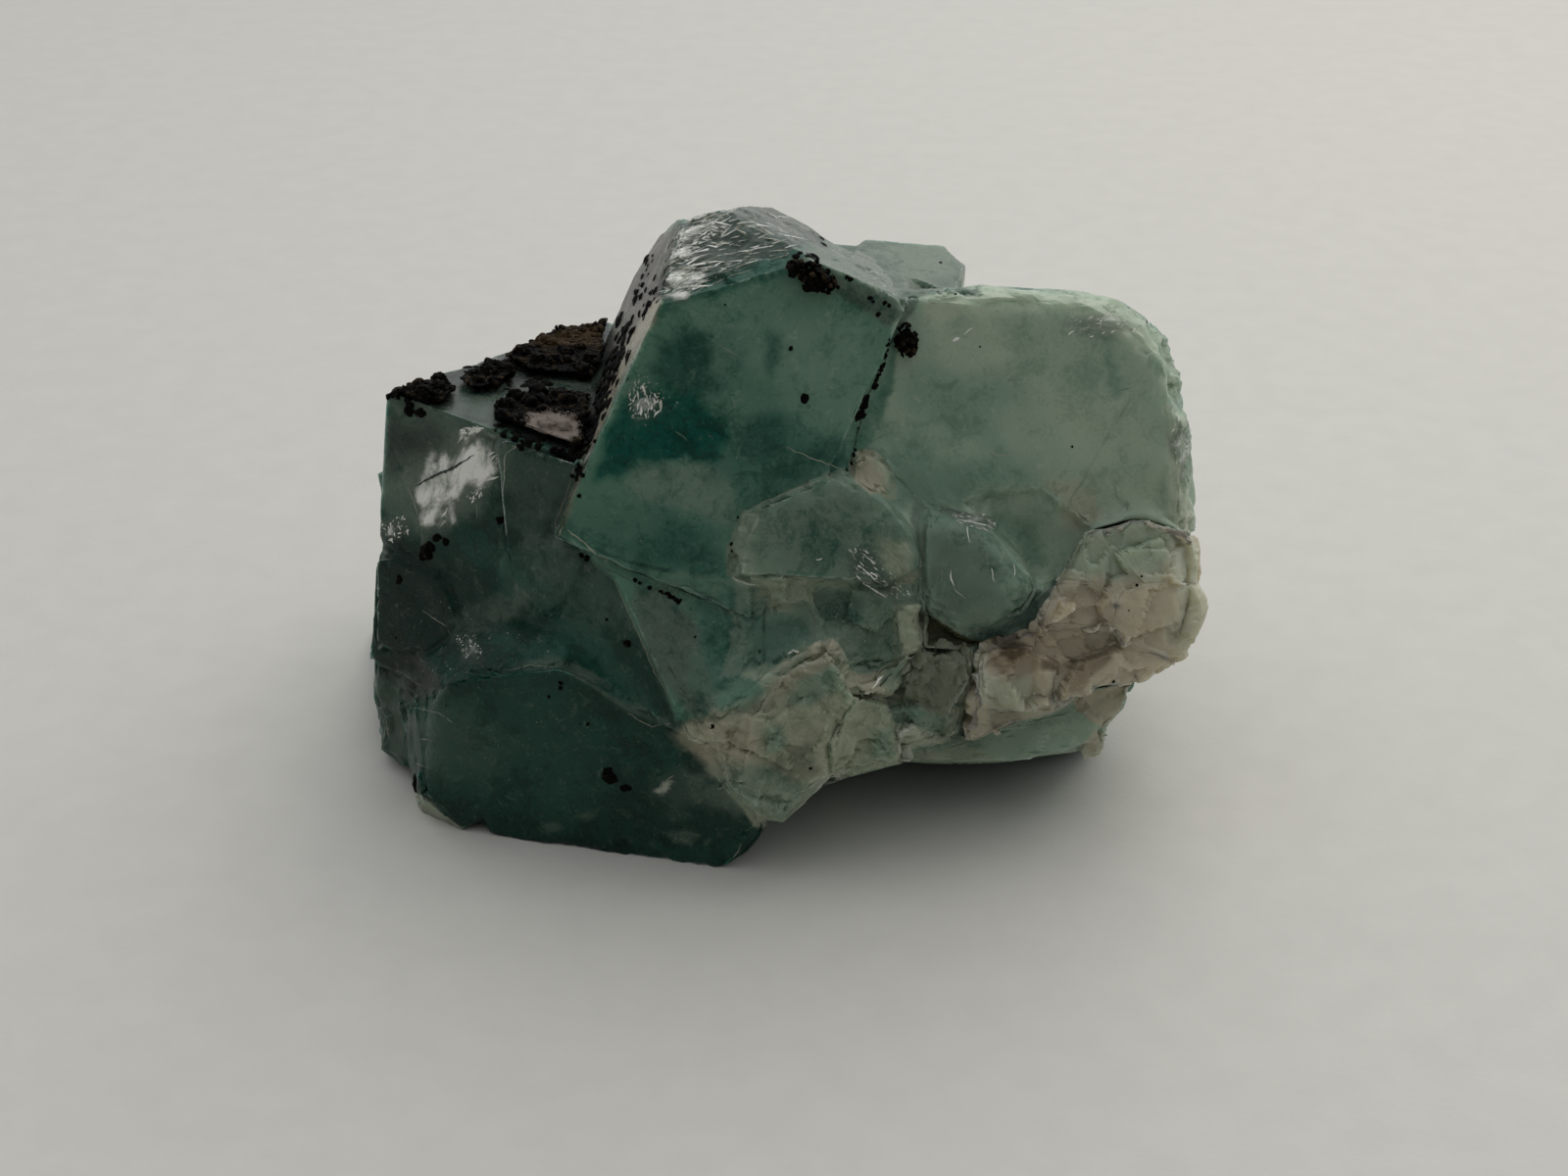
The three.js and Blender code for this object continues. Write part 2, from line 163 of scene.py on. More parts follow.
def layered(points: Array, layers: Layers) -> Array:
    """The heights of layers of facets that lie on each other."""
    return sum(height * facets(points, size, seed) for height, size, seed in layers)


def smooth_step(values: Array, low: float, high: float) -> Array:
    """0 below low, 1 above high and smooth between them; low may be the larger one."""
    share = np.clip((values - low) / (high - low), 0.0, 1.0)
    return share * share * (3.0 - 2.0 * share)


def unit(vectors: Array) -> Array:
    """Rows of vectors, each at a length of 1."""
    return vectors / np.maximum(np.linalg.norm(vectors, axis=1), TINY)[:, None]


def spots_of(path: str) -> Array:
    """The spots of a path, one to a row."""
    return np.array([spot.split(",") for spot in path.split()], float)


def bearing(azimuth: float, elevation: float) -> Triple:
    """How far a direction, given in degrees, goes to the right, onwards and upwards."""
    turn, rise = math.radians(azimuth), math.radians(elevation)
    return math.sin(turn) * math.cos(rise), math.cos(turn) * math.cos(rise), math.sin(rise)


class Tone(Enum):
    """Tints of the minerals and of painted shade, as red, green, blue and how milky the crystal is there."""

    DEEP = (0.002, 0.098, 0.066, 0.35)
    NIGHT = (0.004, 0.024, 0.017, 0.45)
    DARK = (0.006, 0.040, 0.027, 0.70)
    POOL = (0.020, 0.092, 0.066, 0.85)
    TEAL = (0.048, 0.150, 0.110, 0.90)
    GREEN = (0.105, 0.215, 0.150, 1.00)
    SEA = (0.190, 0.310, 0.228, 1.00)
    SHADE = (0.024, 0.031, 0.025, 0.85)
    SLATE = (0.034, 0.056, 0.045, 0.90)
    SMOKE = (0.100, 0.142, 0.106, 1.00)
    HAZE = (0.185, 0.262, 0.196, 1.00)
    # painted shade: a dark grey for the narrow left face that the sky lights strongly
    SIDE_SHADE = (0.022, 0.022, 0.014, 1.00)
    MOSS = (0.160, 0.176, 0.120, 1.00)
    SAGE = (0.330, 0.370, 0.262, 1.00)
    MIST = (0.330, 0.430, 0.322, 1.00)
    PALE = (0.520, 0.560, 0.430, 1.00)
    SAND = (0.430, 0.400, 0.290, 1.00)
    BEIGE = (0.400, 0.372, 0.270, 1.00)
    PINK = (0.540, 0.490, 0.360, 1.00)
    RUSTY = (0.270, 0.220, 0.142, 1.00)
    BROWN = (0.070, 0.048, 0.018, 1.00)
    OLIVE = (0.060, 0.058, 0.028, 1.00)
    FROST = (0.640, 0.660, 0.550, 1.00)


def blended(under: Array, tone: Tone, share: Array) -> Array:
    """Colours with a share of a tone laid over them."""
    return under * (1.0 - share[:, None]) + np.array(tone.value) * share[:, None]


@dataclass(frozen=True)
class Patch:
    """A soft-edged region around the spot of a surface that the eye sees."""

    at: Pair
    reach: Triple  # half sizes across, up and deep
    tilt: float = 0.0  # degrees, anticlockwise in the picture
    strength: float = 1.0
    tone: Tone | None = None

    def weight(self, surface: "Surface", ragged: Array) -> Array:
        """How strongly the patch covers each point of a surface.

        Args:
            surface: The surface that it lies on.
            ragged: Noise for each point that makes the patch's edge uneven.

        Returns:
            A share from 0 to strength for each point.
        """
        centre = surface.seen(*self.at)
        turn = math.radians(self.tilt)
        along = np.array([math.cos(turn), math.sin(turn), 0.0])
        above = np.array([-math.sin(turn), math.cos(turn), 0.0])
        offset = surface.points - np.array(centre)
        parts = np.stack([offset @ along, offset @ above, offset[:, 2]], axis=1) / np.array(self.reach)
        distance = np.linalg.norm(parts, axis=1) + PATCH_NOISE * ragged
        return self.strength * smooth_step(distance, *PATCH_RIM)


@dataclass(frozen=True)
class Region:
    """A region that is traced on the picture, with a soft or ragged rim."""

    outline: str  # its corners, as a path
    tone: Tone | None = None
    strength: float = 1.0
    feather: float = 6.0  # half the width of the soft rim, in the picture's pixels
    ragged: float = 3.0  # how far the rim wanders, in the picture's pixels

    def depth(self, spots: Array) -> Array:
        """How far inside the outline each spot of the picture lies, less than 0 for those outside."""
        corners = spots_of(self.outline)
        inside = np.zeros(len(spots), bool)
        nearest = np.full(len(spots), np.inf)
        for start, end in zip(corners, np.roll(corners, -1, axis=0)):
            edge, offset = end - start, spots - start
            share = np.clip(offset @ edge / (edge @ edge), 0.0, 1.0)[:, None]
            nearest = np.minimum(nearest, np.linalg.norm(offset - share * edge, axis=1))
            crosses = (start[1] > spots[:, 1]) != (end[1] > spots[:, 1])
            side = np.sign(edge[1])
            inside ^= crosses & (offset[:, 0] * edge[1] * side < offset[:, 1] * edge[0] * side)
        return np.where(inside, nearest, -nearest)

    def weight(self, spots: Array, ragged: Array) -> Array:
        """How strongly the region covers each spot of the picture.

        Args:
            spots: Spots as (across, down).
            ragged: Noise for each spot that makes the rim uneven.

        Returns:
            A share from 0 to strength for each spot.
        """
        distance = self.depth(spots) + self.ragged * ragged
        return self.strength * smooth_step(distance, -self.feather, self.feather)


class SightMap:
    """How deep the eye sees at a grid of spots of the picture before surfaces stop it."""

    def __init__(self, surfaces: "Sequence[Surface]", step: float = 4.0) -> None:
        """Casts a line of sight at every spot of the grid."""
        self.step = step
        spots = np.concatenate([EYE.picture(surface.points) for surface in surfaces])
        self.corner = spots.min(axis=0) - step
        across, down = np.ceil((spots.max(axis=0) - self.corner) / step).astype(int) + 2
        self.depths = np.full((across, down), -math.inf)
        for row, column in np.ndindex(across, down):
            sight = EYE.aim(*(self.corner + step * np.array([row, column])))
            for hit in [surface.tree.ray_cast(*sight)[0] for surface in surfaces]:
                if hit:
                    self.depths[row, column] = max(hit.z, self.depths[row, column])
        rims = np.where(np.isinf(self.depths), math.inf, self.depths)
        self.rims = self.window(rims, RIM_REACH, np.minimum)
        self.rims[np.isinf(self.rims)] = -math.inf
        closed = self.window(self.window(self.depths, CLEFT_REACH, np.maximum), CLEFT_REACH, np.minimum)
        self.closed = self.blurred(closed, RIM_REACH)
        self.level = self.blurred(self.blurred(closed, LEVEL_REACH), LEVEL_REACH)
        known = self.window(np.isfinite(self.depths).astype(float), LEVEL_REACH, np.add)
        self.inner = smooth_step(known / (2 * LEVEL_REACH + 1) ** 2, *INNER_SHARE)

    def window(self, grid: Array, reach: int, pick: np.ufunc) -> Array:
        """The largest or smallest value, or the sum, within reach of each spot of the grid."""
        for axis in (0, 1):
            grid = pick.reduce([np.roll(grid, shift, axis) for shift in range(-reach, reach + 1)])
        return grid

    def blurred(self, grid: Array, reach: int) -> Array:
        """The mean of the known depths within reach of each spot of the grid."""
        known = np.isfinite(grid).astype(float)
        total = self.window(np.where(known > 0.0, grid, 0.0), reach, np.add)
        count = self.window(known, reach, np.add)
        return np.where(count > 0.0, total / np.maximum(count, 1.0), -math.inf)

    def cells(self, points: Array) -> tuple[Array, Array]:
        """The row and the column of the spot of the grid that each point is nearest to."""
        cells = np.round((EYE.picture(points) - self.corner) / self.step).astype(int)
        return tuple(np.clip(cells, 0, np.array(self.depths.shape) - 1).T)

    def shown(self, points: Array) -> Array:
        """1 at points that the eye sees and 0 at those that lie deeper."""
        return smooth_step(points[:, 2] - self.rims[self.cells(points)], *SHOWN_DEPTH)

    def cleft(self, points: Array, kept: float, most: float) -> Array:
        """How far each point lies in a narrow cleft, beyond a depth that is kept, in mm."""
        depth = self.closed[self.cells(points)] - kept - points[:, 2]
        return np.where(np.isfinite(depth), np.clip(depth, 0.0, most), 0.0) * self.shown(points)

    def unevenness(self, points: Array, most: float) -> Array:
        """How far each point lies under the evened-out depth around it, in mm."""
        cells = self.cells(points)
        depth = self.level[cells] - points[:, 2]
        depth = np.where(np.isfinite(depth), np.clip(depth, -most, most), 0.0)
        return depth * self.shown(points) * self.inner[cells]

    def near_rims(self, regions: Iterable[Region], broken: Region, reach: float) -> Array:
        """Which spots of the grid lie within reach of a region's outline or inside the broken one."""
        spots = self.corner + self.step * np.argwhere(np.ones_like(self.depths))
        nearest = np.min([np.abs(region.depth(spots)) for region in regions], axis=0)
        return ((nearest < reach) | (broken.depth(spots) > 0.0)).reshape(self.depths.shape)


class Surface:
    """A closed surface of triangles in the traced frame."""

    def __init__(self, points: Array, faces: Array) -> None:
        """Keeps the points and the triangles, and the tree that lines of sight are cast on."""
        self.points = points
        self.faces = faces
        self.plain = np.zeros(len(faces))
        self.tree = BVHTree.FromPolygons(points.tolist(), faces.tolist())

    @classmethod
    def of_node(cls, node: str) -> "Surface":
        """The surface of a CAD node, with its shared points merged."""
        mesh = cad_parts[node].data
        mesh.calc_loop_triangles()
        points = np.array([vertex.co for vertex in mesh.vertices])
        faces = np.array([triangle.vertices for triangle in mesh.loop_triangles])
        merged, first, index = np.unique(np.round(points, 7), axis=0, return_index=True, return_inverse=True)
        faces = index.reshape(-1)[faces]
        whole = (faces[:, 0] != faces[:, 1]) & (faces[:, 1] != faces[:, 2]) & (faces[:, 2] != faces[:, 0])
        log.debug("%s: %d points", node, len(merged))
        return cls(EYE.to_traced(points[first]), faces[whole])

    def seen(self, across: float, down: float) -> Vector:
        """The spot of the surface that the eye sees there, or the one where its plane z = 0 is."""
        start, direction = EYE.aim(across, down)
        hit = self.tree.ray_cast(start, direction)[0]
        return hit if hit else start + direction * (-start.z / direction.z)

    def face_normals(self) -> Array:
        """Each triangle's normal, as long as twice its area."""
        first, second, third = (self.points[self.faces[:, corner]] for corner in range(3))
        return np.cross(second - first, third - first)

    def mark_plain(self, smallest: float) -> None:
        """Notes which triangles belong to a crystal face of at least the given area, in mm2."""
        normals = self.face_normals()
        areas = np.linalg.norm(normals, axis=1)
        units = unit(normals)
        offsets = np.einsum("ij,ij->i", units, self.points[self.faces[:, 0]])
        keys = np.round(np.column_stack([units * FACE_KEYS[0], offsets * FACE_KEYS[1]])).astype(int)
        index = np.unique(keys, axis=0, return_inverse=True)[1].reshape(-1)
        self.plain = (np.bincount(index, areas / 2.0)[index] >= smallest).astype(float)

    def spread(self, values: Array) -> Array:
        """Values of the triangles as area-weighted averages at the points."""
        areas = np.linalg.norm(self.face_normals(), axis=1)
        total = np.zeros(len(self.points))
        share = np.zeros(len(self.points))
        for corner in range(3):
            np.add.at(total, self.faces[:, corner], areas)
            np.add.at(share, self.faces[:, corner], areas * values)
        return share / np.maximum(total, TINY)

    def normals(self, rounds: int = 0) -> Array:
        """Unit normals at the points, evened out between neighbours for a number of rounds."""
        total = np.zeros_like(self.points)
        normals = self.face_normals()
        for corner in range(3):
            np.add.at(total, self.faces[:, corner], normals)
        return unit(self.smoothed(unit(total), rounds))

    def edges(self) -> tuple[Array, Array]:
        """The surface's edges.

        Returns:
            The two points of each edge, and each triangle's three edges, from its first corner on.
        """
        ends = np.sort(np.concatenate([self.faces[:, [i, (i + 1) % 3]] for i in range(3)]), axis=1)
        keys, index = np.unique(ends[:, 0] * len(self.points) + ends[:, 1], return_inverse=True)
        pairs = np.column_stack([keys // len(self.points), keys % len(self.points)])
        return pairs, index.reshape(3, -1).T

    def refine(self, limit: Callable[[Array], Array]) -> None:
        """Halves every edge that is longer than the limit at its middle, and keeps the surface closed.

        Args:
            limit: Gives the longest edge allowed at each of an array of points.
        """
        while True:
            pairs, index = self.edges()
            ends = self.points[pairs]
            length = np.linalg.norm(ends[:, 0] - ends[:, 1], axis=1)
            middle = ends.mean(axis=1)
            marked = length > limit(middle)
            if not marked.any():
                break
            rows = np.arange(len(index))
            turn = length[index].argmax(axis=1)
            longest = index[rows, turn]
            while (wanted := marked[index].any(axis=1) & ~marked[longest]).any():
                marked[longest[wanted]] = True
            self._halve(index, turn, marked, middle)

    def _halve(self, index: Array, turn: Array, marked: Array, middle: Array) -> None:
        """Cuts the triangles at the middles of their marked edges, the longest one first.

        Args:
            index: Each triangle's three edges.
            turn: Which of them is its longest.
            marked: Whether each edge is cut.
            middle: Each edge's middle.
        """
        fresh = np.full(len(marked), -1)
        fresh[marked] = len(self.points) + np.arange(marked.sum())
        rows = np.arange(len(index))
        one, two, three = (self.faces[rows, (turn + step) % 3] for step in range(3))
        base, right, left = (fresh[index[rows, (turn + step) % 3]] for step in range(3))
        kept, split = base < 0, base >= 0
        parts = [(kept, one, two, three)]
        parts += [(split & (left < 0), one, base, three), (split & (right < 0), base, two, three)]
        parts += [(split & (left >= 0), one, base, left), (split & (left >= 0), left, base, three)]
        parts += [(split & (right >= 0), base, two, right), (split & (right >= 0), base, right, three)]
        self.faces = np.concatenate([np.column_stack([a[rule], b[rule], c[rule]]) for rule, a, b, c in parts])
        self.plain = np.concatenate([self.plain[rule] for rule, *_ in parts])
        self.points = np.concatenate([self.points, middle[marked]])

    def around(self, values: Array, pairs: Array) -> Array:
        """The mean of the values at each point's neighbours, from the two points of each edge."""
        count = np.bincount(pairs.reshape(-1), minlength=len(self.points))
        total = np.zeros_like(values)
        np.add.at(total, pairs[:, 0], values[pairs[:, 1]])
        np.add.at(total, pairs[:, 1], values[pairs[:, 0]])
        return total / count.reshape((-1,) + (1,) * (values.ndim - 1))

    def soften(self, share: Array, rounds: int) -> None:
        """Rounds the surface off where share is 1, by moving points towards their neighbours."""
        pairs = self.edges()[0]
        for _ in range(rounds):
            away = self.around(self.points, pairs) - self.points
            self.points = self.points + 0.5 * share[:, None] * away

    def widened(self, values: Array, rounds: int) -> Array:
        """Values at the points, spread outwards over their neighbours."""
        pairs = self.edges()[0]
        for _ in range(rounds):
            grown = values.copy()
            np.maximum.at(grown, pairs[:, 0], FADE * values[pairs[:, 1]])
            np.maximum.at(grown, pairs[:, 1], FADE * values[pairs[:, 0]])
            values = grown
        return values

    def smoothed(self, values: Array, rounds: int) -> Array:
        """Values at the points, evened out between neighbours."""
        pairs = self.edges()[0]
        for _ in range(rounds):
            values = 0.5 * values + 0.5 * self.around(values, pairs)
        return values

    def close_clefts(
        self, sight: SightMap, share: Array | float, kept: float = 0.0, most: float = 9.0
    ) -> Array:
        """Lifts the points in narrow clefts towards the eye, which leaves shallow seams.

        Args:
            sight: What the eye sees of the surfaces around the clefts.
            share: How much of its depth each point loses.
            kept: How deep the seams stay, in mm.
            most: How far a point may be lifted, in mm.

        Returns:
            How far each point was lifted, in mm.
        """
        lift = share * self.smoothed(sight.cleft(self.points, kept, most), EVENING_ROUNDS)
        towards = np.array([0.0, 0.0, EYE.distance]) - self.points
        self.points = self.points + towards * (LIFT * lift / towards[:, 2])[:, None]
        return lift

    def level_out(self, sight: SightMap, share: Array, most: float = 3.0) -> None:
        """Moves the points that the eye sees towards the evened-out depth around them."""
        lift = self.smoothed(share * sight.unevenness(self.points, most), EVENING_ROUNDS)
        self.points = self.points + lift[:, None] * np.array([0.0, 0.0, 1.0])

    def creases(self, angle: float) -> tuple[Array, Array]:
        """Finds the points on sharp edges.

        Args:
            angle: The smallest bend of a sharp edge, in degrees.

        Returns:
            For each point, whether an outward edge and whether an inward edge passes it, as 0 or 1.
        """
        pairs, index = self.edges()
        units = unit(self.face_normals())
        centres = self.points[self.faces].mean(axis=1)
        order = np.argsort(index.reshape(-1), kind="stable")
        owners = (order // 3).reshape(-1, 2)
        first, second = owners[:, 0], owners[:, 1]
        bend = np.degrees(np.arccos(np.clip(np.einsum("ij,ij->i", units[first], units[second]), -1.0, 1.0)))
        inward = np.einsum("ij,ij->i", units[first], centres[second] - centres[first]) > 0
        outer, inner = np.zeros(len(self.points)), np.zeros(len(self.points))
        outer[pairs[(bend > angle) & ~inward].reshape(-1)] = 1.0
        inner[pairs[(bend > angle) & inward].reshape(-1)] = 1.0
        return outer, inner

    def to_object(
        self, name: str, material: bpy.types.Material, values: dict[str, Array], sharp: float
    ) -> bpy.types.Object:
        """Writes the surface as an object of the scene.

        Args:
            name: The object's name.
            material: What it is made of.
            values: Numbers or colours at the points, by name, for the material.
            sharp: The smallest bend that stays a sharp edge, in degrees.

        Returns:
            The new object.
        """
        points = EYE.to_part(self.points)
        points[:, 2] = np.maximum(points[:, 2], 0.0)
        mesh = bpy.data.meshes.new(name)
        mesh.from_pydata(points.tolist(), [], self.faces.tolist())
        for label, column in values.items():
            kind, key = ("FLOAT", "value") if column.ndim == 1 else ("FLOAT_COLOR", "color")
            attribute = mesh.attributes.new(label, kind, "POINT")
            attribute.data.foreach_set(key, column.astype(np.float32).reshape(-1))
        mesh.polygons.foreach_set("use_smooth", [True] * len(mesh.polygons))
        mesh.set_sharp_from_angle(angle=math.radians(sharp))
        mesh.materials.append(material)
        piece = bpy.data.objects.new(name, mesh)
        bpy.context.scene.collection.objects.link(piece)
        return piece


class Signal:
    """A number in a material's node tree. Sums and products of signals add the nodes that work them out."""

    def __init__(self, board: "Board", socket: Socket) -> None:
        """Wraps a socket of a board."""
        self.board = board
        self.socket = socket

    def _with(self, operation: str, *operands: "Signal | float") -> "Signal":
        """The result of one Math node."""
        inputs = dict(enumerate(operands))
        return self.board.signal("ShaderNodeMath", {"operation": operation}, inputs)

    def __add__(self, other: "Signal | float") -> "Signal":
        """Self plus other."""
        return self._with("ADD", self, other)

    def __radd__(self, other: float) -> "Signal":
        """Other plus self."""
        return self._with("ADD", other, self)

    def __sub__(self, other: "Signal | float") -> "Signal":
        """Self minus other."""
        return self._with("SUBTRACT", self, other)

    def __rsub__(self, other: float) -> "Signal":
        """Other minus self."""
        return self._with("SUBTRACT", other, self)

    def __mul__(self, other: "Signal | float") -> "Signal":
        """Self times other."""
        return self._with("MULTIPLY", self, other)

    def __rmul__(self, other: float) -> "Signal":
        """Other times self."""
        return self._with("MULTIPLY", other, self)

    def most(self, other: "Signal | float") -> "Signal":
        """The larger of the two."""
        return self._with("MAXIMUM", self, other)

    def step(self, low: float, high: float) -> "Signal":
        """0 below low, 1 above high and smooth between them; low may be the larger one."""
        settings = {"interpolation_type": "SMOOTHSTEP"}
        return self.board.signal("ShaderNodeMapRange", settings, {0: self, 1: low, 2: high, 3: 0.0, 4: 1.0})


Value = Signal | Socket | float | Sequence[float]


class Board:
    """A node tree, with coordinates in millimetres."""

    def __init__(
        self,
        tree: bpy.types.NodeTree,
        output: str = "ShaderNodeOutputMaterial",
        material: bpy.types.Material | None = None,
    ) -> None:
        """Empties the tree and adds its output."""
        self.tree = tree
        self.material = material
        self.tree.nodes.clear()
        self.output = self.node(output)
        self.coordinates = self.node("ShaderNodeTexCoord").outputs
        inputs = {0: self.coordinates["Object"], "Scale": 1.0 / MM}
        self.place = self.node("ShaderNodeVectorMath", {"operation": "SCALE"}, inputs).outputs[0]

    @classmethod
    def of_material(cls, name: str) -> "Board":
        """The board of a new material."""
        material = bpy.data.materials.new(name)
        material.use_nodes = True
        return cls(material.node_tree, material=material)

    def node(
        self, kind: str, settings: dict[str, Any] | None = None, inputs: dict[int | str, Value] | None = None
    ) -> bpy.types.Node:
        """Adds one node.

        Args:
            kind: The node's type.
            settings: Its properties, which are set first.
            inputs: Values or links of its sockets, by index or name.

        Returns:
            The node.
        """
        made = self.tree.nodes.new(kind)
        for key, setting in (settings or {}).items():
            setattr(made, key, setting)
        for key, value in (inputs or {}).items():
            socket = made.inputs[key]
            if isinstance(value, Signal):
                self.tree.links.new(value.socket, socket)
            elif isinstance(value, Socket):
                self.tree.links.new(value, socket)
            elif isinstance(value, tuple) and len(value) == 3 and socket.type == "RGBA":
                socket.default_value = (*value, 1.0)
            else:
                socket.default_value = value
        return made

    def signal(
        self,
        kind: str,
        settings: dict[str, Any] | None = None,
        inputs: dict[int | str, Value] | None = None,
        output: int | str = 0,
    ) -> Signal:
        """Adds one node and wraps one of its outputs."""
        return Signal(self, self.node(kind, settings, inputs).outputs[output])

    def attribute(self, name: str, output: str = "Fac") -> Signal:
        """The number that the mesh carries under a name."""
        return self.signal("ShaderNodeAttribute", {"attribute_name": name}, output=output)

    def mix(self, factor: Value, first: Value, second: Value, blend: str = "MIX") -> Socket:
        """A colour between two others.

        Args:
            factor: 0 for the first colour, 1 for the second.
            first: The first colour.
            second: The second colour.
            blend: How the second colour goes onto the first.

        Returns:
            The mixed colour's socket.
        """
        settings = {"data_type": "RGBA", "blend_type": blend, "clamp_result": True}
        return self.node("ShaderNodeMix", settings, {0: factor, 6: first, 7: second}).outputs[2]

    def noise(
        self,
        size: float,
        detail: float = 3.0,
        place: Value | None = None,
        rough: float = 0.5,
        turn: float = 0.0,
    ) -> Signal:
        """Smooth noise around 0.5.

        Args:
            size: Width of its features, in mm.
            detail: Number of finer layers.
            place: Coordinates, if not the plain ones.
            rough: How strong the finer layers are.
            turn: How far the pattern twists.

        Returns:
            The noise.
        """
        inputs = {"Vector": place or self.place, "Scale": 1.0 / size, "Detail": detail, "Roughness": rough}
        inputs["Distortion"] = turn
        return self.signal("ShaderNodeTexNoise", None, inputs)

    def along(self, angle: float, stretch: float) -> Socket:
        """Coordinates stretched along a direction of the picture, in degrees anticlockwise, for streaks."""
        stand = Matrix.Rotation(math.radians(90.0 - EYE.elevation), 3, "X")
        turn = stand @ Matrix.Rotation(math.radians(angle), 3, "Z")
        inputs = {"Vector": self.place, "Rotation": tuple(turn.to_euler()), "Scale": (stretch, 1.0, 1.0)}
        return self.node("ShaderNodeMapping", {"vector_type": "TEXTURE"}, inputs).outputs[0]

    def specks(self, size: float, radius: float, share: float) -> Signal:
        """1 in small round specks and 0 between them.

        Args:
            size: How far apart they can be, in mm.
            radius: Their radius, in mm.
            share: How many of them there are, from 0 to 1.

        Returns:
            The specks.
        """
        cells = self.node("ShaderNodeTexVoronoi", None, {"Vector": self.place, "Scale": 1.0 / size})
        chance = self.signal("ShaderNodeSeparateColor", None, {0: cells.outputs["Color"]})
        near = Signal(self, cells.outputs["Distance"]).step(radius / size, 0.6 * radius / size)
        return near * chance.step(1.0 - share, 1.02 - share)

    def bump(self, height: Signal, distance: float) -> Socket:
        """A normal bent by a height, where 1 stands for the distance in mm."""
        inputs = {"Height": height, "Distance": distance * MM}
        return self.node("ShaderNodeBump", None, inputs).outputs["Normal"]

    def finish(
        self, shader: bpy.types.Node, volume: bpy.types.Node | None = None
    ) -> bpy.types.Material | None:
        """Joins the shaders to the output, and gives the material that the tree belongs to, if any."""
        self.tree.links.new(shader.outputs[0], self.output.inputs["Surface"])
        if volume:
            self.tree.links.new(volume.outputs[0], self.output.inputs["Volume"])
        return self.material


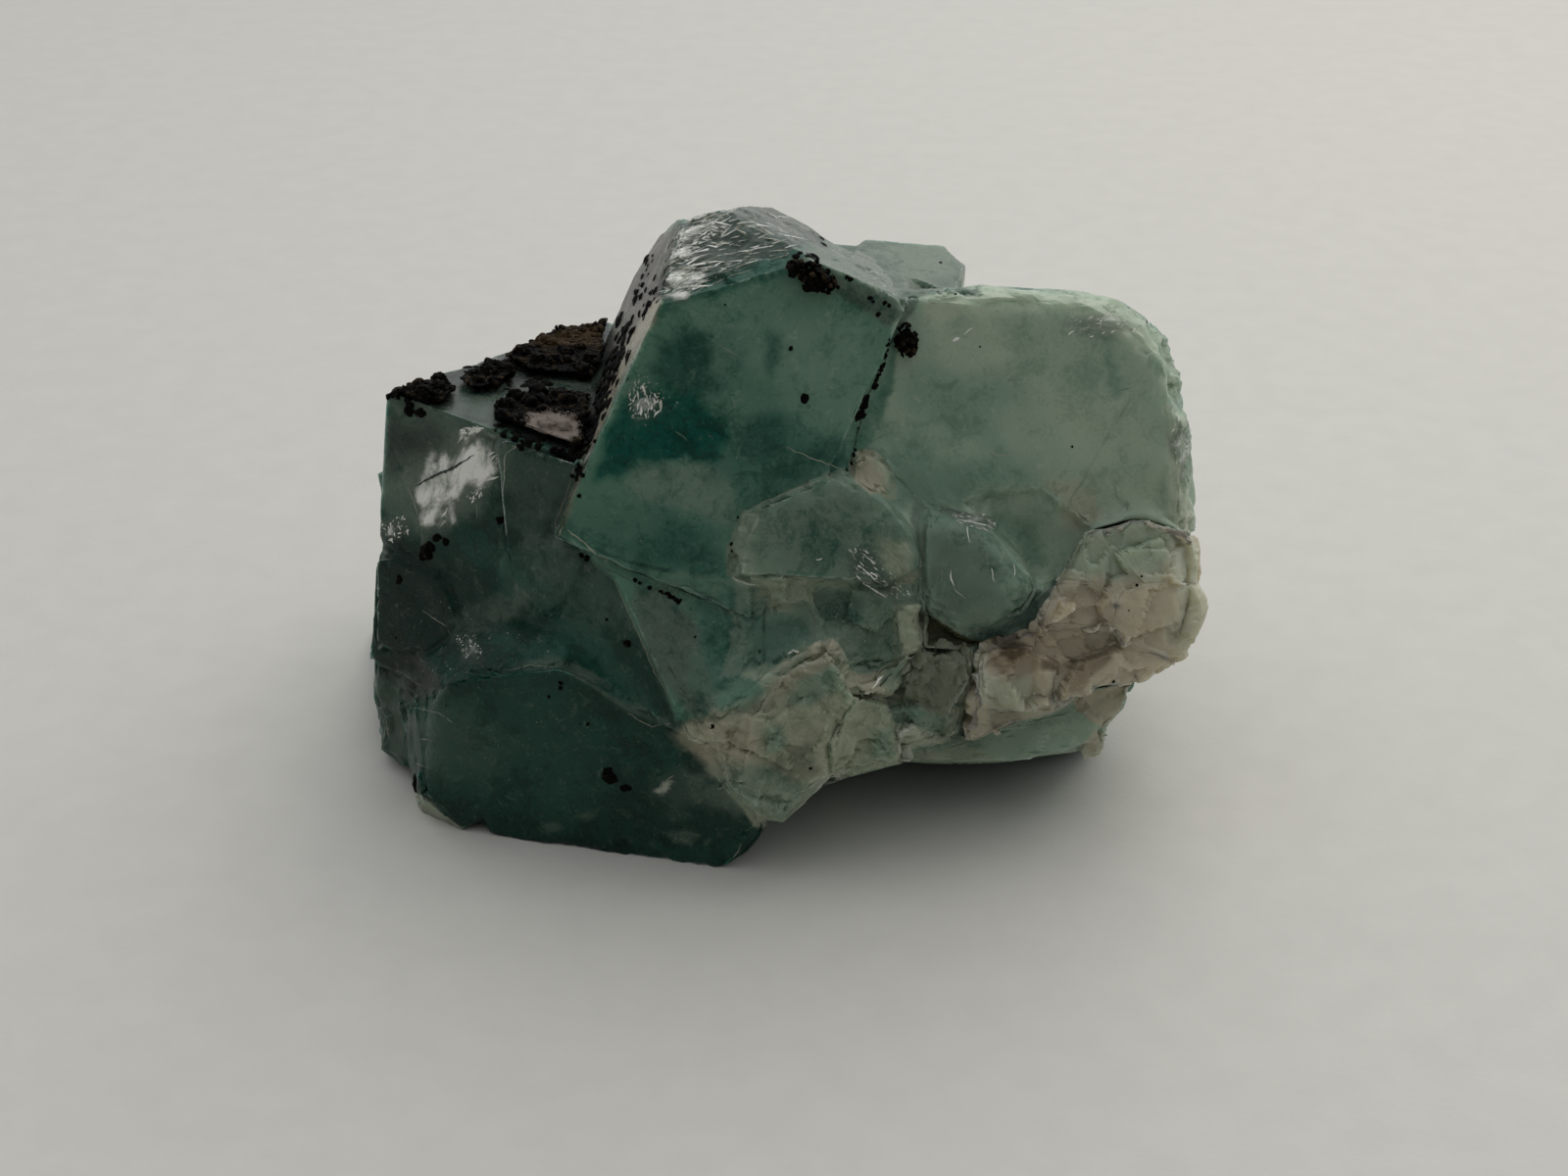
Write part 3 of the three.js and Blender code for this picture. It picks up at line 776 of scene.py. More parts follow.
@dataclass(frozen=True)
class FluoriteFinish:
    """Glassy fluorite with milky veils and clear, dark depths, and glints of light painted into its colour.
    """

    refraction: float = 1.434
    clear_roughness: float = 0.12
    clear_colour: Triple = (0.82, 0.93, 0.90)
    depth_colour: Triple = (0.0, 0.62, 0.50)
    depth_density: float = 520.0
    scatter: Triple = (2.0, 2.8, 2.5)  # mm
    scatter_weight: float = 0.4
    gloss: float = 0.24
    dim: Triple = (0.42, 0.54, 0.52)  # this and the next two go times the tint
    lit: Triple = (1.62, 1.50, 1.50)
    hole: Triple = (0.18, 0.46, 0.42)
    veil: Triple = (0.50, 0.55, 0.45)
    thread: Triple = (0.10, 0.085, 0.045)
    dust: Triple = (0.62, 0.65, 0.55)
    chip: Triple = (0.54, 0.58, 0.48)
    pit: Triple = (0.006, 0.010, 0.008)
    # flash: the dull grey and bright white of the painted glints
    flash: tuple[Triple, Triple] = ((0.13, 0.155, 0.125), (0.97, 0.97, 0.90))  # dull and bright
    relief: float = 0.11  # mm

    def make(self) -> bpy.types.Material:
        """Builds the material; the mesh carries tint, painted_glint, broken, fibre and wear, where
        painted_glint marks painted glints.
        """
        board = Board.of_material("fluorite")
        tint = board.attribute("tint", "Color").socket
        milk = board.attribute("tint", "Alpha")
        painted_glint, broken, fibre = (board.attribute(name) for name in ("painted_glint", "broken", "fibre"))
        wear = board.attribute("wear")

        cloud = board.noise(6.0, 6.0, rough=0.62, turn=1.0)
        wisp = board.noise(1.7, 6.0, rough=0.68, turn=0.8)
        grain = board.noise(0.28, 3.0)
        level = board.noise(1.2, 4.0, board.along(6.0, 5.0), 0.6, 0.7)
        slanting = board.noise(2.4, 6.0, board.along(47.0, 3.0), 0.64, 0.5)
        left = board.signal("ShaderNodeSeparateXYZ", None, {0: board.place}).step(-13.5, -15.5)
        streak = level + (slanting - level) * left
        hair = board.noise(0.35, 4.0, board.along(68.0, 9.0), 0.6)

        mottle = (cloud - 0.5) * 1.7 + (wisp - 0.5) * 1.7 + (grain - 0.5) * 0.4
        green = board.signal("ShaderNodeSeparateColor", None, {0: tint}, "Green")
        deep = green.step(0.40, 0.16)
        tone = 0.5 + ((mottle + 0.5).step(-0.1, 1.1) - 0.5) * (0.5 + 0.5 * deep)
        body = board.mix(1.0, tint, board.mix(tone, self.dim, self.lit), "MULTIPLY")
        holes = board.noise(1.3, 5.0, rough=0.6, turn=0.5).step(0.53, 0.62) * cloud.step(0.60, 0.44) * deep
        spotted = board.mix(holes * 0.62, body, board.mix(1.0, tint, self.hole, "MULTIPLY"))
        veil = board.noise(0.9, 6.0, rough=0.7, turn=1.4).step(0.52, 0.70) * wisp.step(0.42, 0.58)
        veiled = board.mix(veil * (0.42 - 0.28 * deep), spotted, self.veil)
        fibrous = board.mix(fibre * hair.step(0.5, 0.62) * 0.7, veiled, self.thread)
        dust = wisp.step(0.50, 0.66) * board.specks(0.5, 0.05, 0.45)
        dusty = board.mix(dust * (0.45 - 0.2 * deep), fibrous, self.dust)
        worn = board.mix(wear.step(0.45, 1.0) * wisp.step(0.44, 0.62) * 0.45, dusty, self.chip)
        pitted = board.mix(board.specks(3.1, 0.07, 0.35), worn, self.pit)
        # painted glints: dull grey to bright white light painted over the colour in streaks, where the mask
        # is high
        glint = painted_glint.step(0.0, 0.85) * (0.5 + 0.5 * streak.step(0.36, 0.60))
        bright = (painted_glint * 1.05 + (streak - 0.5) * 2.6 + (wisp - 0.5) * 0.5).step(0.55, 1.20)
        colour = board.mix(glint, pitted, board.mix(bright, *self.flash))

        height = grain * 0.2 + wisp * 0.5 + streak * painted_glint * 3.0 + board.noise(0.8, 4.0) * broken * 1.4
        normal = board.bump(height, self.relief)
        roughness = 0.22 + 0.14 * tone + 0.16 * broken - 0.1 * glint + (grain - 0.5) * 0.25
        milky = board.node(
            "ShaderNodeBsdfPrincipled",
            {"subsurface_method": "RANDOM_WALK"},
            {
                "Base Color": colour,
                "Roughness": roughness,
                "IOR": self.refraction,
                "Specular IOR Level": self.gloss,
                "Normal": normal,
                "Subsurface Weight": self.scatter_weight,
                "Subsurface Radius": self.scatter,
                "Subsurface Scale": MM,
            },
        )
        clear = board.node(
            "ShaderNodeBsdfPrincipled",
            None,
            {
                "Base Color": self.clear_colour,
                "Roughness": self.clear_roughness,
                "IOR": self.refraction,
                "Transmission Weight": 1.0,
                "Normal": normal,
            },
        )
        share = (milk + mottle * 0.3 + broken * 0.2).most(glint).step(-0.3, 0.65)
        inputs = {0: share, 1: clear.outputs[0], 2: milky.outputs[0]}
        crystal = board.node("ShaderNodeMixShader", None, inputs)
        inputs = {"Color": self.depth_colour, "Density": self.depth_density}
        depth = board.node("ShaderNodeVolumeAbsorption", None, inputs)
        return board.finish(crystal, depth)


@dataclass(frozen=True)
class QuartzFinish:
    """Broken quartz, pinkish beige with rusty brown in its cracks."""

    refraction: float = 1.54
    gloss: float = 0.4
    scatter: Triple = (3.0, 2.6, 1.8)  # mm
    scatter_weight: float = 0.65
    dim: Triple = (0.70, 0.68, 0.64)  # this and the next go times the tint
    lit: Triple = (1.30, 1.30, 1.32)
    rust: Triple = (0.10, 0.065, 0.028)
    dust: Triple = (0.62, 0.58, 0.48)
    pit: Triple = (0.02, 0.014, 0.01)
    relief: float = 0.12  # mm

    def make(self) -> bpy.types.Material:
        """Builds the material; the mesh carries tint and crevice."""
        board = Board.of_material("quartz")
        tint = board.attribute("tint", "Color").socket
        crevice = board.attribute("crevice")
        cloud = board.noise(3.5, 6.0, rough=0.65, turn=0.8)
        wisp = board.noise(1.2, 5.0, rough=0.65)
        grain = board.noise(0.3, 3.0)
        mottle = ((cloud - 0.5) * 1.4 + (wisp - 0.5) * 1.1 + 0.5).step(-0.3, 1.3)
        body = board.mix(1.0, tint, board.mix(mottle, self.dim, self.lit), "MULTIPLY")
        rust = crevice.step(0.4, 1.0) * cloud.step(0.42, 0.6)
        rusty = board.mix(rust * 0.5, body, self.rust)
        dusty = board.mix(board.specks(0.6, 0.06, 0.3) * 0.4, rusty, self.dust)
        colour = board.mix(board.specks(2.6, 0.07, 0.35), dusty, self.pit)
        shader = board.node(
            "ShaderNodeBsdfPrincipled",
            {"subsurface_method": "RANDOM_WALK"},
            {
                "Base Color": colour,
                "Roughness": 0.32 + 0.3 * (grain - 0.5) + 0.1 * mottle,
                "IOR": self.refraction,
                "Specular IOR Level": self.gloss,
                "Normal": board.bump(grain * 0.3 + wisp * 1.0, self.relief),
                "Subsurface Weight": self.scatter_weight,
                "Subsurface Radius": self.scatter,
                "Subsurface Scale": MM,
            },
        )
        return board.finish(shader)


@dataclass(frozen=True)
class CrustFinish:
    """Earthy oxide, black where fresh and brown or pinkish grey where it is crumbly."""

    name: str = "oxide_crust"
    black: Triple = (0.003, 0.0026, 0.0022)
    brown: Triple = (0.050, 0.034, 0.017)
    chalk: Triple = (0.21, 0.175, 0.150)
    roughness: float = 0.6
    gloss: float = 0.04
    relief: float = 0.1  # mm

    def make(self) -> bpy.types.Material:
        """Builds the material; the mesh carries chalk and rust."""
        board = Board.of_material(self.name)
        chalk, rust = board.attribute("chalk"), board.attribute("rust")
        clump = board.noise(1.1, 4.0, rough=0.65)
        grain = board.noise(0.16, 3.0)
        shade = (rust + (clump - 0.5) * 1.8 + (grain - 0.5) * 0.8).step(0.55, 1.3)
        dark = board.mix(shade, self.black, self.brown)
        pale = (chalk + (grain - 0.5) * 2.2 + (clump - 0.5)).step(0.35, 0.75)
        inputs = {
            "Base Color": board.mix(pale, dark, self.chalk),
            "Roughness": self.roughness + 0.3 * (grain - 0.5),
            "Specular IOR Level": self.gloss,
            "Normal": board.bump(grain + clump * 1.5, self.relief),
        }
        return board.finish(board.node("ShaderNodeBsdfPrincipled", None, inputs))


@dataclass(frozen=True)
class SliverAndGlintFinish:
    """Cleavage slivers and healed cracks, from dark olive to dull grey, and bright white ones that are
    painted glints.
    """

    dark: Triple = (0.010, 0.018, 0.014)
    dull: Triple = (0.30, 0.31, 0.23)
    # white that paints glints of light onto the brightest slivers
    bright: Triple = (0.93, 0.94, 0.86)
    gloss: float = 0.4

    def make(self) -> bpy.types.Material:
        """Builds the material; the mesh carries shine."""
        board = Board.of_material("slivers_and_painted_glints")
        shine = board.attribute("shine")
        low = board.mix(shine.step(0.0, 0.5), self.dark, self.dull)
        colour = board.mix(shine.step(0.5, 1.0), low, self.bright)
        inputs = {"Base Color": colour, "Roughness": 0.45 - 0.25 * shine, "Specular IOR Level": self.gloss}
        return board.finish(board.node("ShaderNodeBsdfPrincipled", None, inputs))


@dataclass(frozen=True)
class FloorFinish:
    """Pale matte board."""

    colour: Triple = (0.65, 0.633, 0.580)
    fleck: float = 0.96  # how bright the flecks are beside the rest
    relief: float = 0.02  # mm

    def make(self) -> bpy.types.Material:
        """Builds the material."""
        board = Board.of_material("pale_floor")
        fleck = board.noise(4.0, 4.0)
        flecks = tuple(self.fleck * part for part in self.colour)
        colour = board.mix(fleck.step(0.2, 0.8), self.colour, flecks)
        normal = board.bump(board.noise(0.6, 2.0), self.relief)
        inputs = {"Base Color": colour, "Roughness": 0.6 + 0.1 * fleck, "Normal": normal}
        return board.finish(board.node("ShaderNodeBsdfPrincipled", None, inputs))


TINTS = [Patch(*row) for row in (
    ((1060, 430), (16, 14, 18), 0, 1, Tone.MIST),
    ((900, 275), (9, 4, 14), 0, 0.9, Tone.HAZE),
    ((480, 420), (9, 5.5, 16), 0, 0.8, Tone.SHADE),
    ((520, 520), (17, 12, 20), 0, 1, Tone.DARK),
    ((560, 800), (18, 11, 18), 0, 1, Tone.DARK),
    ((840, 700), (10, 9, 8), 0, 0.7, Tone.SAGE),
    ((1100, 750), (9, 4.5, 12), 0, 0.8, Tone.MIST),
)]

REGIONS = [Region(*row) for row in (
    # The top crystal: its front, the break above it and its narrow left face
    ("660,296 740,275 806,262 912,325 912,400 875,480 760,520 748,592 640,572 570,547 596,470 636,372",
        Tone.GREEN, 1, 2.5, 0.5),
    ("690,310 800,285 880,325 880,380 800,400 760,380 700,345", Tone.SEA, 0.45, 22, 18),
    ("800,330 900,330 895,400 862,450 815,440 790,380", Tone.SEA, 0.6, 20, 16),
    ("640,468 700,464 745,478 760,505 740,535 700,525 650,505", Tone.HAZE, 0.8, 9, 16),
    ("605,520 690,520 742,545 748,592 690,585 600,560 578,540", Tone.TEAL, 0.9, 14, 14),
    ("620,535 690,530 735,555 735,582 680,575 620,560", Tone.POOL, 0.5, 14, 14),
    ("590,500 640,500 680,540 640,560 590,540", Tone.GREEN, 0.6, 12, 12),
    ("672,350 700,335 742,340 752,372 740,395 700,402 668,385", Tone.POOL, 0.9, 12, 16),
    ("728,440 800,430 870,450 862,480 800,500 752,520 735,490", Tone.TEAL, 0.7, 12, 18),
    ("765,425 792,425 800,470 780,500 760,470", Tone.POOL, 0.7, 9, 16),
    ("820,450 862,452 850,478 810,492", Tone.POOL, 0.6, 9, 14),
    ("632,402 660,396 690,404 722,412 738,428 742,448 730,466 690,474 650,478 622,484 606,492 612,452",
        Tone.DEEP, 1, 6, 10),
    ("728,330 748,335 752,360 742,392 724,380 720,352", Tone.SEA, 0.5, 7, 10),
    ("786,340 796,345 790,385 780,382", Tone.POOL, 0.7, 5, 6),
    ("676,302 700,302 740,280 790,266 808,262 824,248 838,246 828,216 752,200 706,208 682,240 676,270",
        Tone.SLATE, 0.95, 2, 1.5),
    ("820,250 838,240 868,248 905,264 944,294 926,322 905,332 860,302 812,264", Tone.SMOKE, 0.9, 3, 3),
    # the narrow left face in painted shade
    ("690,238 676,302 655,336 640,372 600,470 570,548 556,547 586,470 606,385 626,325 644,285 668,236",
        Tone.SIDE_SHADE, 1, 2, 1),
    ("678,300 668,330 655,348 641,374 621,422 601,464 586,502 574,536 569,549 561,548 570,520 584,478"
        " 599,438 615,397 632,362 650,334 664,308", Tone.BEIGE, 0.9, 2, 3),
    ("672,296 740,272 806,256 826,248 815,276 745,296 680,314", Tone.POOL, 0.8, 4, 3),
    # The left crystal: its top and its front
    ("390,398 470,360 530,338 624,322 622,380 600,468 508,436 394,410", Tone.SHADE, 1, 3, 1),
    ("470,395 500,385 530,400 525,425 505,434 460,424", Tone.SMOKE, 0.5, 14, 12),
    ("540,398 572,374 610,378 604,400 560,410", Tone.SMOKE, 0.3, 8, 8),
    ("380,400 508,436 600,470 585,502 572,548 600,570 645,590 690,742 573,682 470,692 426,724 372,672"
        " 370,520", Tone.DARK, 1, 3, 1),
    ("388,398 420,408 500,430 510,470 470,505 428,500 384,512", Tone.SMOKE, 0.9, 12, 12),
    ("396,440 430,430 462,452 440,478 400,490", Tone.SHADE, 0.7, 10, 12),
    ("425,470 480,440 512,450 516,490 490,512 460,530 425,545 388,545 388,500", Tone.HAZE, 0.5, 16, 16),
    ("505,446 560,462 596,476 566,545 520,540 512,500", Tone.SMOKE, 0.35, 10, 10),
    ("540,535 572,548 600,565 560,590 520,575", Tone.SMOKE, 0.6, 10, 12),
    ("500,560 575,560 625,590 650,650 560,640 520,600", Tone.POOL, 0.5, 14, 18),
    ("520,575 600,572 648,600 660,650 610,640 560,610", Tone.SMOKE, 0.35, 12, 16),
    ("462,530 492,545 560,600 520,598 465,560", Tone.DEEP, 0.35, 7, 8),
    ("372,545 425,552 470,620 470,660 430,670 372,664", Tone.NIGHT, 1, 10, 12),
    ("400,560 470,570 500,600 450,610 400,590", Tone.SHADE, 0.3, 10, 14),
    ("458,636 480,618 520,606 545,608 530,628 490,640 466,648", Tone.SMOKE, 0.7, 7, 7),
    ("510,640 590,640 625,655 600,690 560,672 520,680", Tone.TEAL, 0.35, 12, 16),
    ("520,676 575,650 622,655 652,700 686,742 640,727 600,702 573,684", Tone.POOL, 0.7, 8, 10),
    ("520,680 560,670 580,675 610,696 640,720 668,734 688,728 686,744 640,728 573,684", Tone.SMOKE, 0.7, 4,
        6),
    ("370,664 430,672 450,700 430,730 420,792 396,786 374,770", Tone.SHADE, 0.8, 6, 8),
    ("380,690 412,690 420,740 416,790 390,770", Tone.SMOKE, 0.5, 7, 9),
    # The low crystal
    ("412,722 470,690 517,685 573,680 641,726 686,742 745,800 778,800 780,845 748,908 465,884 412,812",
        Tone.DARK, 1, 3, 1),
    ("430,735 480,702 560,700 620,780 600,835 470,830 425,780", Tone.POOL, 0.55, 30, 20),
    ("430,735 480,720 520,760 500,800 440,790", Tone.SMOKE, 0.25, 20, 16),
    ("612,735 700,760 702,800 640,790 612,762", Tone.DEEP, 0.3, 12, 8),
    ("465,850 560,860 700,855 778,850 748,908 475,888", Tone.NIGHT, 0.7, 8, 6),
    ("640,850 700,858 770,850 742,890 640,880", Tone.POOL, 0.5, 10, 10),
    ("421,806 440,820 460,840 483,856 460,868 430,864 420,840", Tone.PALE, 0.75, 1.5, 2),
    ("668,807 676,797 686,797 682,806 672,811", Tone.FROST, 0.8, 1.5, 2),
    ("671,848 700,849 714,852 705,862 690,862 680,855", Tone.SMOKE, 0.9, 3, 3),
    ("588,832 600,828 608,833 600,838", Tone.SMOKE, 0.6, 3, 2),
    ("552,842 566,839 574,845 560,850", Tone.SMOKE, 0.6, 3, 2),
    ("700,786 735,784 768,800 776,836 740,830 706,815", Tone.SMOKE, 0.95, 5, 6),
    ("664,790 700,780 712,815 690,835 668,820", Tone.SMOKE, 0.35, 7, 8),
    # The wedge between the left crystal and the middle ones
    ("576,548 640,574 705,590 750,592 760,605 756,690 784,702 752,738 688,736 680,704 648,640 626,590",
        Tone.GREEN, 0.9, 2, 1),
    ("640,590 690,602 715,640 702,690 725,725 695,737 672,690 652,640", Tone.SMOKE, 0.9, 9, 14),
    ("676,640 720,640 735,690 724,730 694,733", Tone.SMOKE, 0.5, 9, 12),
    ("712,612 745,606 750,690 732,700 716,650", Tone.TEAL, 0.7, 7, 9),
    ("742,602 757,600 754,690 740,694", Tone.POOL, 0.6, 4, 4),
    # The middle crystals
    ("930,500 1080,580 1090,660 1000,700 990,760 940,760 930,640", Tone.SMOKE, 0.95, 4, 3),
    ("746,590 746,558 757,522 800,504 862,480 896,500 934,545 945,580 905,600 825,594", Tone.HAZE, 1, 1.5,
        0.5),
    ("775,540 850,500 885,520 900,560 860,590 800,585", Tone.SMOKE, 0.35, 12, 14),
    ("746,560 759,522 772,522 766,560 778,592 748,594", Tone.SAGE, 0.4, 5, 4),
    ("826,535 852,535 860,565 835,590 822,560", Tone.POOL, 0.5, 8, 8),
    ("864,566 885,560 915,590 912,606 880,604 866,592", Tone.DARK, 0.6, 5, 5),
    ("892,544 925,556 942,600 936,645 914,622 906,585", Tone.SAGE, 0.8, 6, 8),
    ("750,596 905,600 942,590 936,640 914,672 885,692 850,655 800,672 735,694 752,640", Tone.HAZE, 0.85, 1.5,
        0.5),
    ("762,625 826,624 828,655 775,684 752,680", Tone.TEAL, 0.6, 8, 10),
    ("830,605 880,608 872,640 835,645", Tone.POOL, 0.5, 8, 10),
    ("776,590 800,588 827,594 827,618 785,621 777,610", Tone.SAGE, 0.7, 1.5, 1.5),
    ("914,618 944,612 943,664 916,678", Tone.SAGE, 0.95, 1.5, 1.5),
    ("942,530 950,519 985,528 1016,540 1036,565 1053,590 1057,602 1045,623 1020,636 990,646 975,643 944,622"
        " 940,570", Tone.HAZE, 1, 1.5, 0.5),
    ("950,540 1000,540 1030,575 1020,610 970,620 948,590", Tone.SMOKE, 0.5, 10, 12),
    ("985,600 1045,606 1030,632 985,642 950,618", Tone.SMOKE, 0.4, 8, 6),
    ("868,470 878,462 895,464 912,482 910,507 890,501 872,488", Tone.SAND, 0.85, 1, 1),
    # The right crystal
    ("900,430 960,460 1050,470 1062,498 1000,508 950,522 912,505 895,470", Tone.SEA, 0.9, 18, 14),
    ("920,490 990,500 985,530 945,530 915,510", Tone.HAZE, 0.6, 9, 9),
    ("925,375 1000,375 1040,400 1020,450 960,450 925,420", Tone.SEA, 0.7, 25, 18),
    ("935,290 1000,286 1140,298 1195,342 1218,400 1190,402 1160,352 1100,326 1000,318 950,330", Tone.PALE,
        0.6, 9, 14),
    ("960,335 1010,330 1030,370 990,385 960,365", Tone.PALE, 0.35, 12, 12),
    ("1190,400 1220,440 1226,500 1222,550 1196,546 1200,480", Tone.PALE, 0.6, 6, 9),
    ("1060,400 1150,410 1180,470 1100,470", Tone.PALE, 0.25, 25, 18),
    ("1124,342 1136,344 1143,370 1151,398 1138,405 1130,372", Tone.GREEN, 0.55, 5, 7),
    ("1170,354 1188,358 1193,380 1180,387", Tone.GREEN, 0.55, 5, 6),
    ("985,512 1000,505 1060,498 1088,520 1112,541 1066,606 1040,580 1018,545 1000,530", Tone.MIST, 0.8, 3,
        3),
    ("1010,520 1060,530 1070,570 1050,585 1025,550", Tone.GREEN, 0.5, 9, 9),
    ("1064,494 1090,490 1120,500 1126,530 1106,541 1085,524", Tone.SAND, 0.45, 6, 8),
    ("1120,490 1222,480 1224,556 1160,530 1110,542", Tone.SAND, 0.2, 16, 14),
    # painted shade: dark olive in the recess that is pushed back
    ("942,622 978,646 1002,656 986,664 944,662", Tone.OLIVE, 1, 1.5, 2),
    # The low middle pieces, the thin slab and the tail
    ("715,742 766,732 780,702 804,670 848,654 874,685 879,710 863,726 845,759 848,802 822,820 800,846"
        " 770,844 740,800 712,762", Tone.SAGE, 1, 2, 2),
    ("720,742 780,706 850,660 874,690 850,750 846,800 790,838", Tone.BEIGE, 0.35, 10, 12),
    ("688,734 762,732 776,756 756,790 730,790 700,768", Tone.SAND, 0.75, 7, 12),
    ("730,785 800,780 830,810 795,840 765,835", Tone.HAZE, 0.6, 8, 10),
    ("792,762 824,762 836,790 805,800 786,788", Tone.MOSS, 0.7, 7, 8),
    ("776,740 800,738 806,762 784,768", Tone.GREEN, 0.6, 7, 8),
    ("815,690 860,678 864,708 830,722 800,722", Tone.GREEN, 0.6, 8, 8),
    ("764,735 784,706 800,674 830,660 850,654 860,668 835,682 810,698 790,716 772,734", Tone.SAND, 0.8, 5,
        6),
    ("878,708 914,690 909,715 919,741 924,786 848,806 845,759 863,726", Tone.SAGE, 1, 1.5, 1),
    ("886,742 914,744 919,775 888,782", Tone.GREEN, 0.5, 7, 6),
    ("911,695 942,658 992,662 992,695 975,750 950,755 916,738", Tone.MOSS, 1, 2, 1),
    ("914,722 940,726 978,735 950,755 918,742", Tone.HAZE, 0.9, 4, 5),
    ("918,738 925,738 971,757 945,763 920,779", Tone.PALE, 0.7, 1.5, 1),
    ("871,687 904,684 898,701 882,709 873,700", Tone.SAND, 0.9, 2, 1),
    ("828,800 846,794 865,795 862,810 836,820 832,806", Tone.FROST, 0.5, 3, 3),
    ("1050,746 1100,727 1130,750 1098,772 1058,774", Tone.MIST, 0.7, 6, 5),
    ("920,774 985,762 1012,770 1022,786 920,790", Tone.SAGE, 0.8, 4, 4),
    ("1096,712 1158,696 1151,711 1147,723 1128,743 1112,736", Tone.SAND, 1, 1.5, 1),
    ("1102,765 1118,744 1134,751 1134,781 1104,782", Tone.BEIGE, 0.9, 1.5, 1),
    # The far crystal
    ("836,230 990,230 1000,298 930,300 896,268", Tone.SMOKE, 1, 3, 2),
    ("870,245 975,245 985,285 930,290", Tone.SAGE, 0.3, 12, 10),
)]

QUARTZ_REGIONS = [Region(*row) for row in (
    ("1055,612 1108,540 1160,524 1222,545 1222,600 1173,598 1142,608", Tone.SAND, 0.9, 4, 3),
    ("1080,578 1108,540 1165,524 1215,545 1180,585 1100,588", Tone.MIST, 0.75, 14, 12),
    ("1195,540 1230,550 1235,613 1212,680 1190,650 1200,610 1190,570", Tone.PALE, 0.6, 9, 9),
    ("1085,600 1128,600 1138,630 1100,642 1080,622", Tone.RUSTY, 0.4, 7, 10),
    ("1050,632 1100,638 1132,650 1137,674 1080,682 1050,670", Tone.RUSTY, 0.6, 8, 12),
    ("980,765 988,700 1085,694 1102,716 1030,752", Tone.SAND, 0.85, 8, 9),
    ("1000,690 1050,690 1060,720 1010,730", Tone.MIST, 0.4, 9, 9),
    ("990,660 1000,656 1004,700 1013,714 998,714 990,695", Tone.PALE, 0.6, 2, 3),
    ("1008,720 1036,716 1042,738 1010,744", Tone.OLIVE, 0.5, 5, 6),
    ("1000,640 1040,620 1062,650 1064,680 1040,692 1012,680", Tone.RUSTY, 0.7, 6, 8),
    ("1012,632 1030,626 1036,645 1047,655 1050,668 1040,673 1030,682 1017,668 1011,650", Tone.BROWN, 0.9, 3,
        6),
    ("1062,671 1078,675 1080,685 1066,683", Tone.BROWN, 0.8, 3, 5),
    ("1084,678 1110,670 1138,666 1126,682 1104,692 1090,688", Tone.BROWN, 0.5, 5, 7),
    ("1086,690 1112,690 1106,706 1080,708", Tone.RUSTY, 0.8, 4, 6),
)]

# Regions where glints of light off cleavage planes are painted into the fluorite's colour and its relief gets
# fine ridges
PAINTED_GLINTS = {name: Region(path, None, *rest) for name, path, *rest in (
    ("left_face", "474,440 500,448 508,470 502,494 486,504 468,516 458,532 440,542 424,530 416,508 424,488"
        " 450,462", 0.9, 22, 14),
    ("left_face_low", "428,500 448,490 464,498 456,522 444,538 430,528", 1, 9, 6),
    ("left_face_high", "462,462 480,448 500,452 498,474 480,492 464,488", 0.95, 9, 6),
    ("left_edge", "388,534 410,526 420,540 404,552 388,550", 0.8, 7, 7),
    ("left_top", "468,440 482,434 494,437 478,444", 0.9, 2.5, 2),
    ("left_chip", "476,506 490,496 492,506 482,512", 0.9, 2.5, 3),
    ("left_speck", "430,544 438,544 438,557 432,556", 0.9, 1.5, 1),
    ("left_glint", "464,648 486,648 494,672 470,672", 0.55, 6, 8),
    ("tall_chip", "640,400 658,392 678,412 668,426 646,428", 0.45, 12, 12),
    ("crown", "678,300 700,300 740,280 790,266 804,262 818,246 836,240 828,218 752,202 706,208 682,240"
        " 676,270", 0.36, 6, 8),
    ("crown_left", "690,236 710,216 735,210 744,232 720,246 700,266 686,262", 0.8, 7, 9),
    ("crown_low", "678,304 684,268 704,264 722,284 700,302", 0.8, 6, 7),
    ("crown_right", "790,222 806,220 804,240 794,242", 0.5, 4, 4),
    ("plate_top", "974,528 1000,524 1017,534 1016,542 990,536", 0.6, 3, 4),
    ("plate_glints", "862,556 890,558 920,596 910,608 876,598", 0.35, 6, 7),
    ("right_edge", "1198,425 1220,432 1226,470 1214,494 1200,470", 0.55, 5, 7),
    ("right_shoulder", "1090,326 1140,314 1176,332 1140,340 1100,346", 0.45, 6, 7),
    ("crust_gap", "560,376 600,370 612,384 580,394", 0.3, 5, 6),
    ("crust_speck", "496,366 510,364 512,372 498,374", 0.8, 2, 2),
    ("left_haze", "400,486 424,476 452,462 448,480 410,502", 0.4, 6, 8),
    ("rubble_ridge", "764,728 800,676 850,654 864,668 812,700 784,732", 0.35, 5, 7),
    ("rubble_foot", "830,800 866,794 862,812 836,822", 0.5, 3, 4),
    ("crown_slope", "838,246 880,254 940,296 925,304 860,266", 0.4, 5, 6),
)}

RIM_BAND = Region("680,295 668,330 655,348 641,374 621,422 601,464 586,502 574,536 569,549 561,548 570,520"
    " 584,478 597,438 611,397 628,362 646,334 660,300", None, 1, 2, 1)

ROUGH_FACES = [Patch(*row) for row in (
    ((1210, 450), (1.8, 9, 12), 0, 0.9),
    ((1160, 325), (5, 1.8, 12), -35, 0.8),
    ((1020, 300), (8, 1.3, 12), 0, 0.5),
    ((725, 255), (7, 4, 6), 10, 0.9),
    ((735, 760), (4, 3, 4), 0, 0.5),
    ((1180, 575), (3.5, 2, 4), 0, 0.7),
    ((560, 870), (10, 1.5, 6), 0, 0.6),
    ((1100, 770), (9, 1, 8), 0, 0.5),
)]

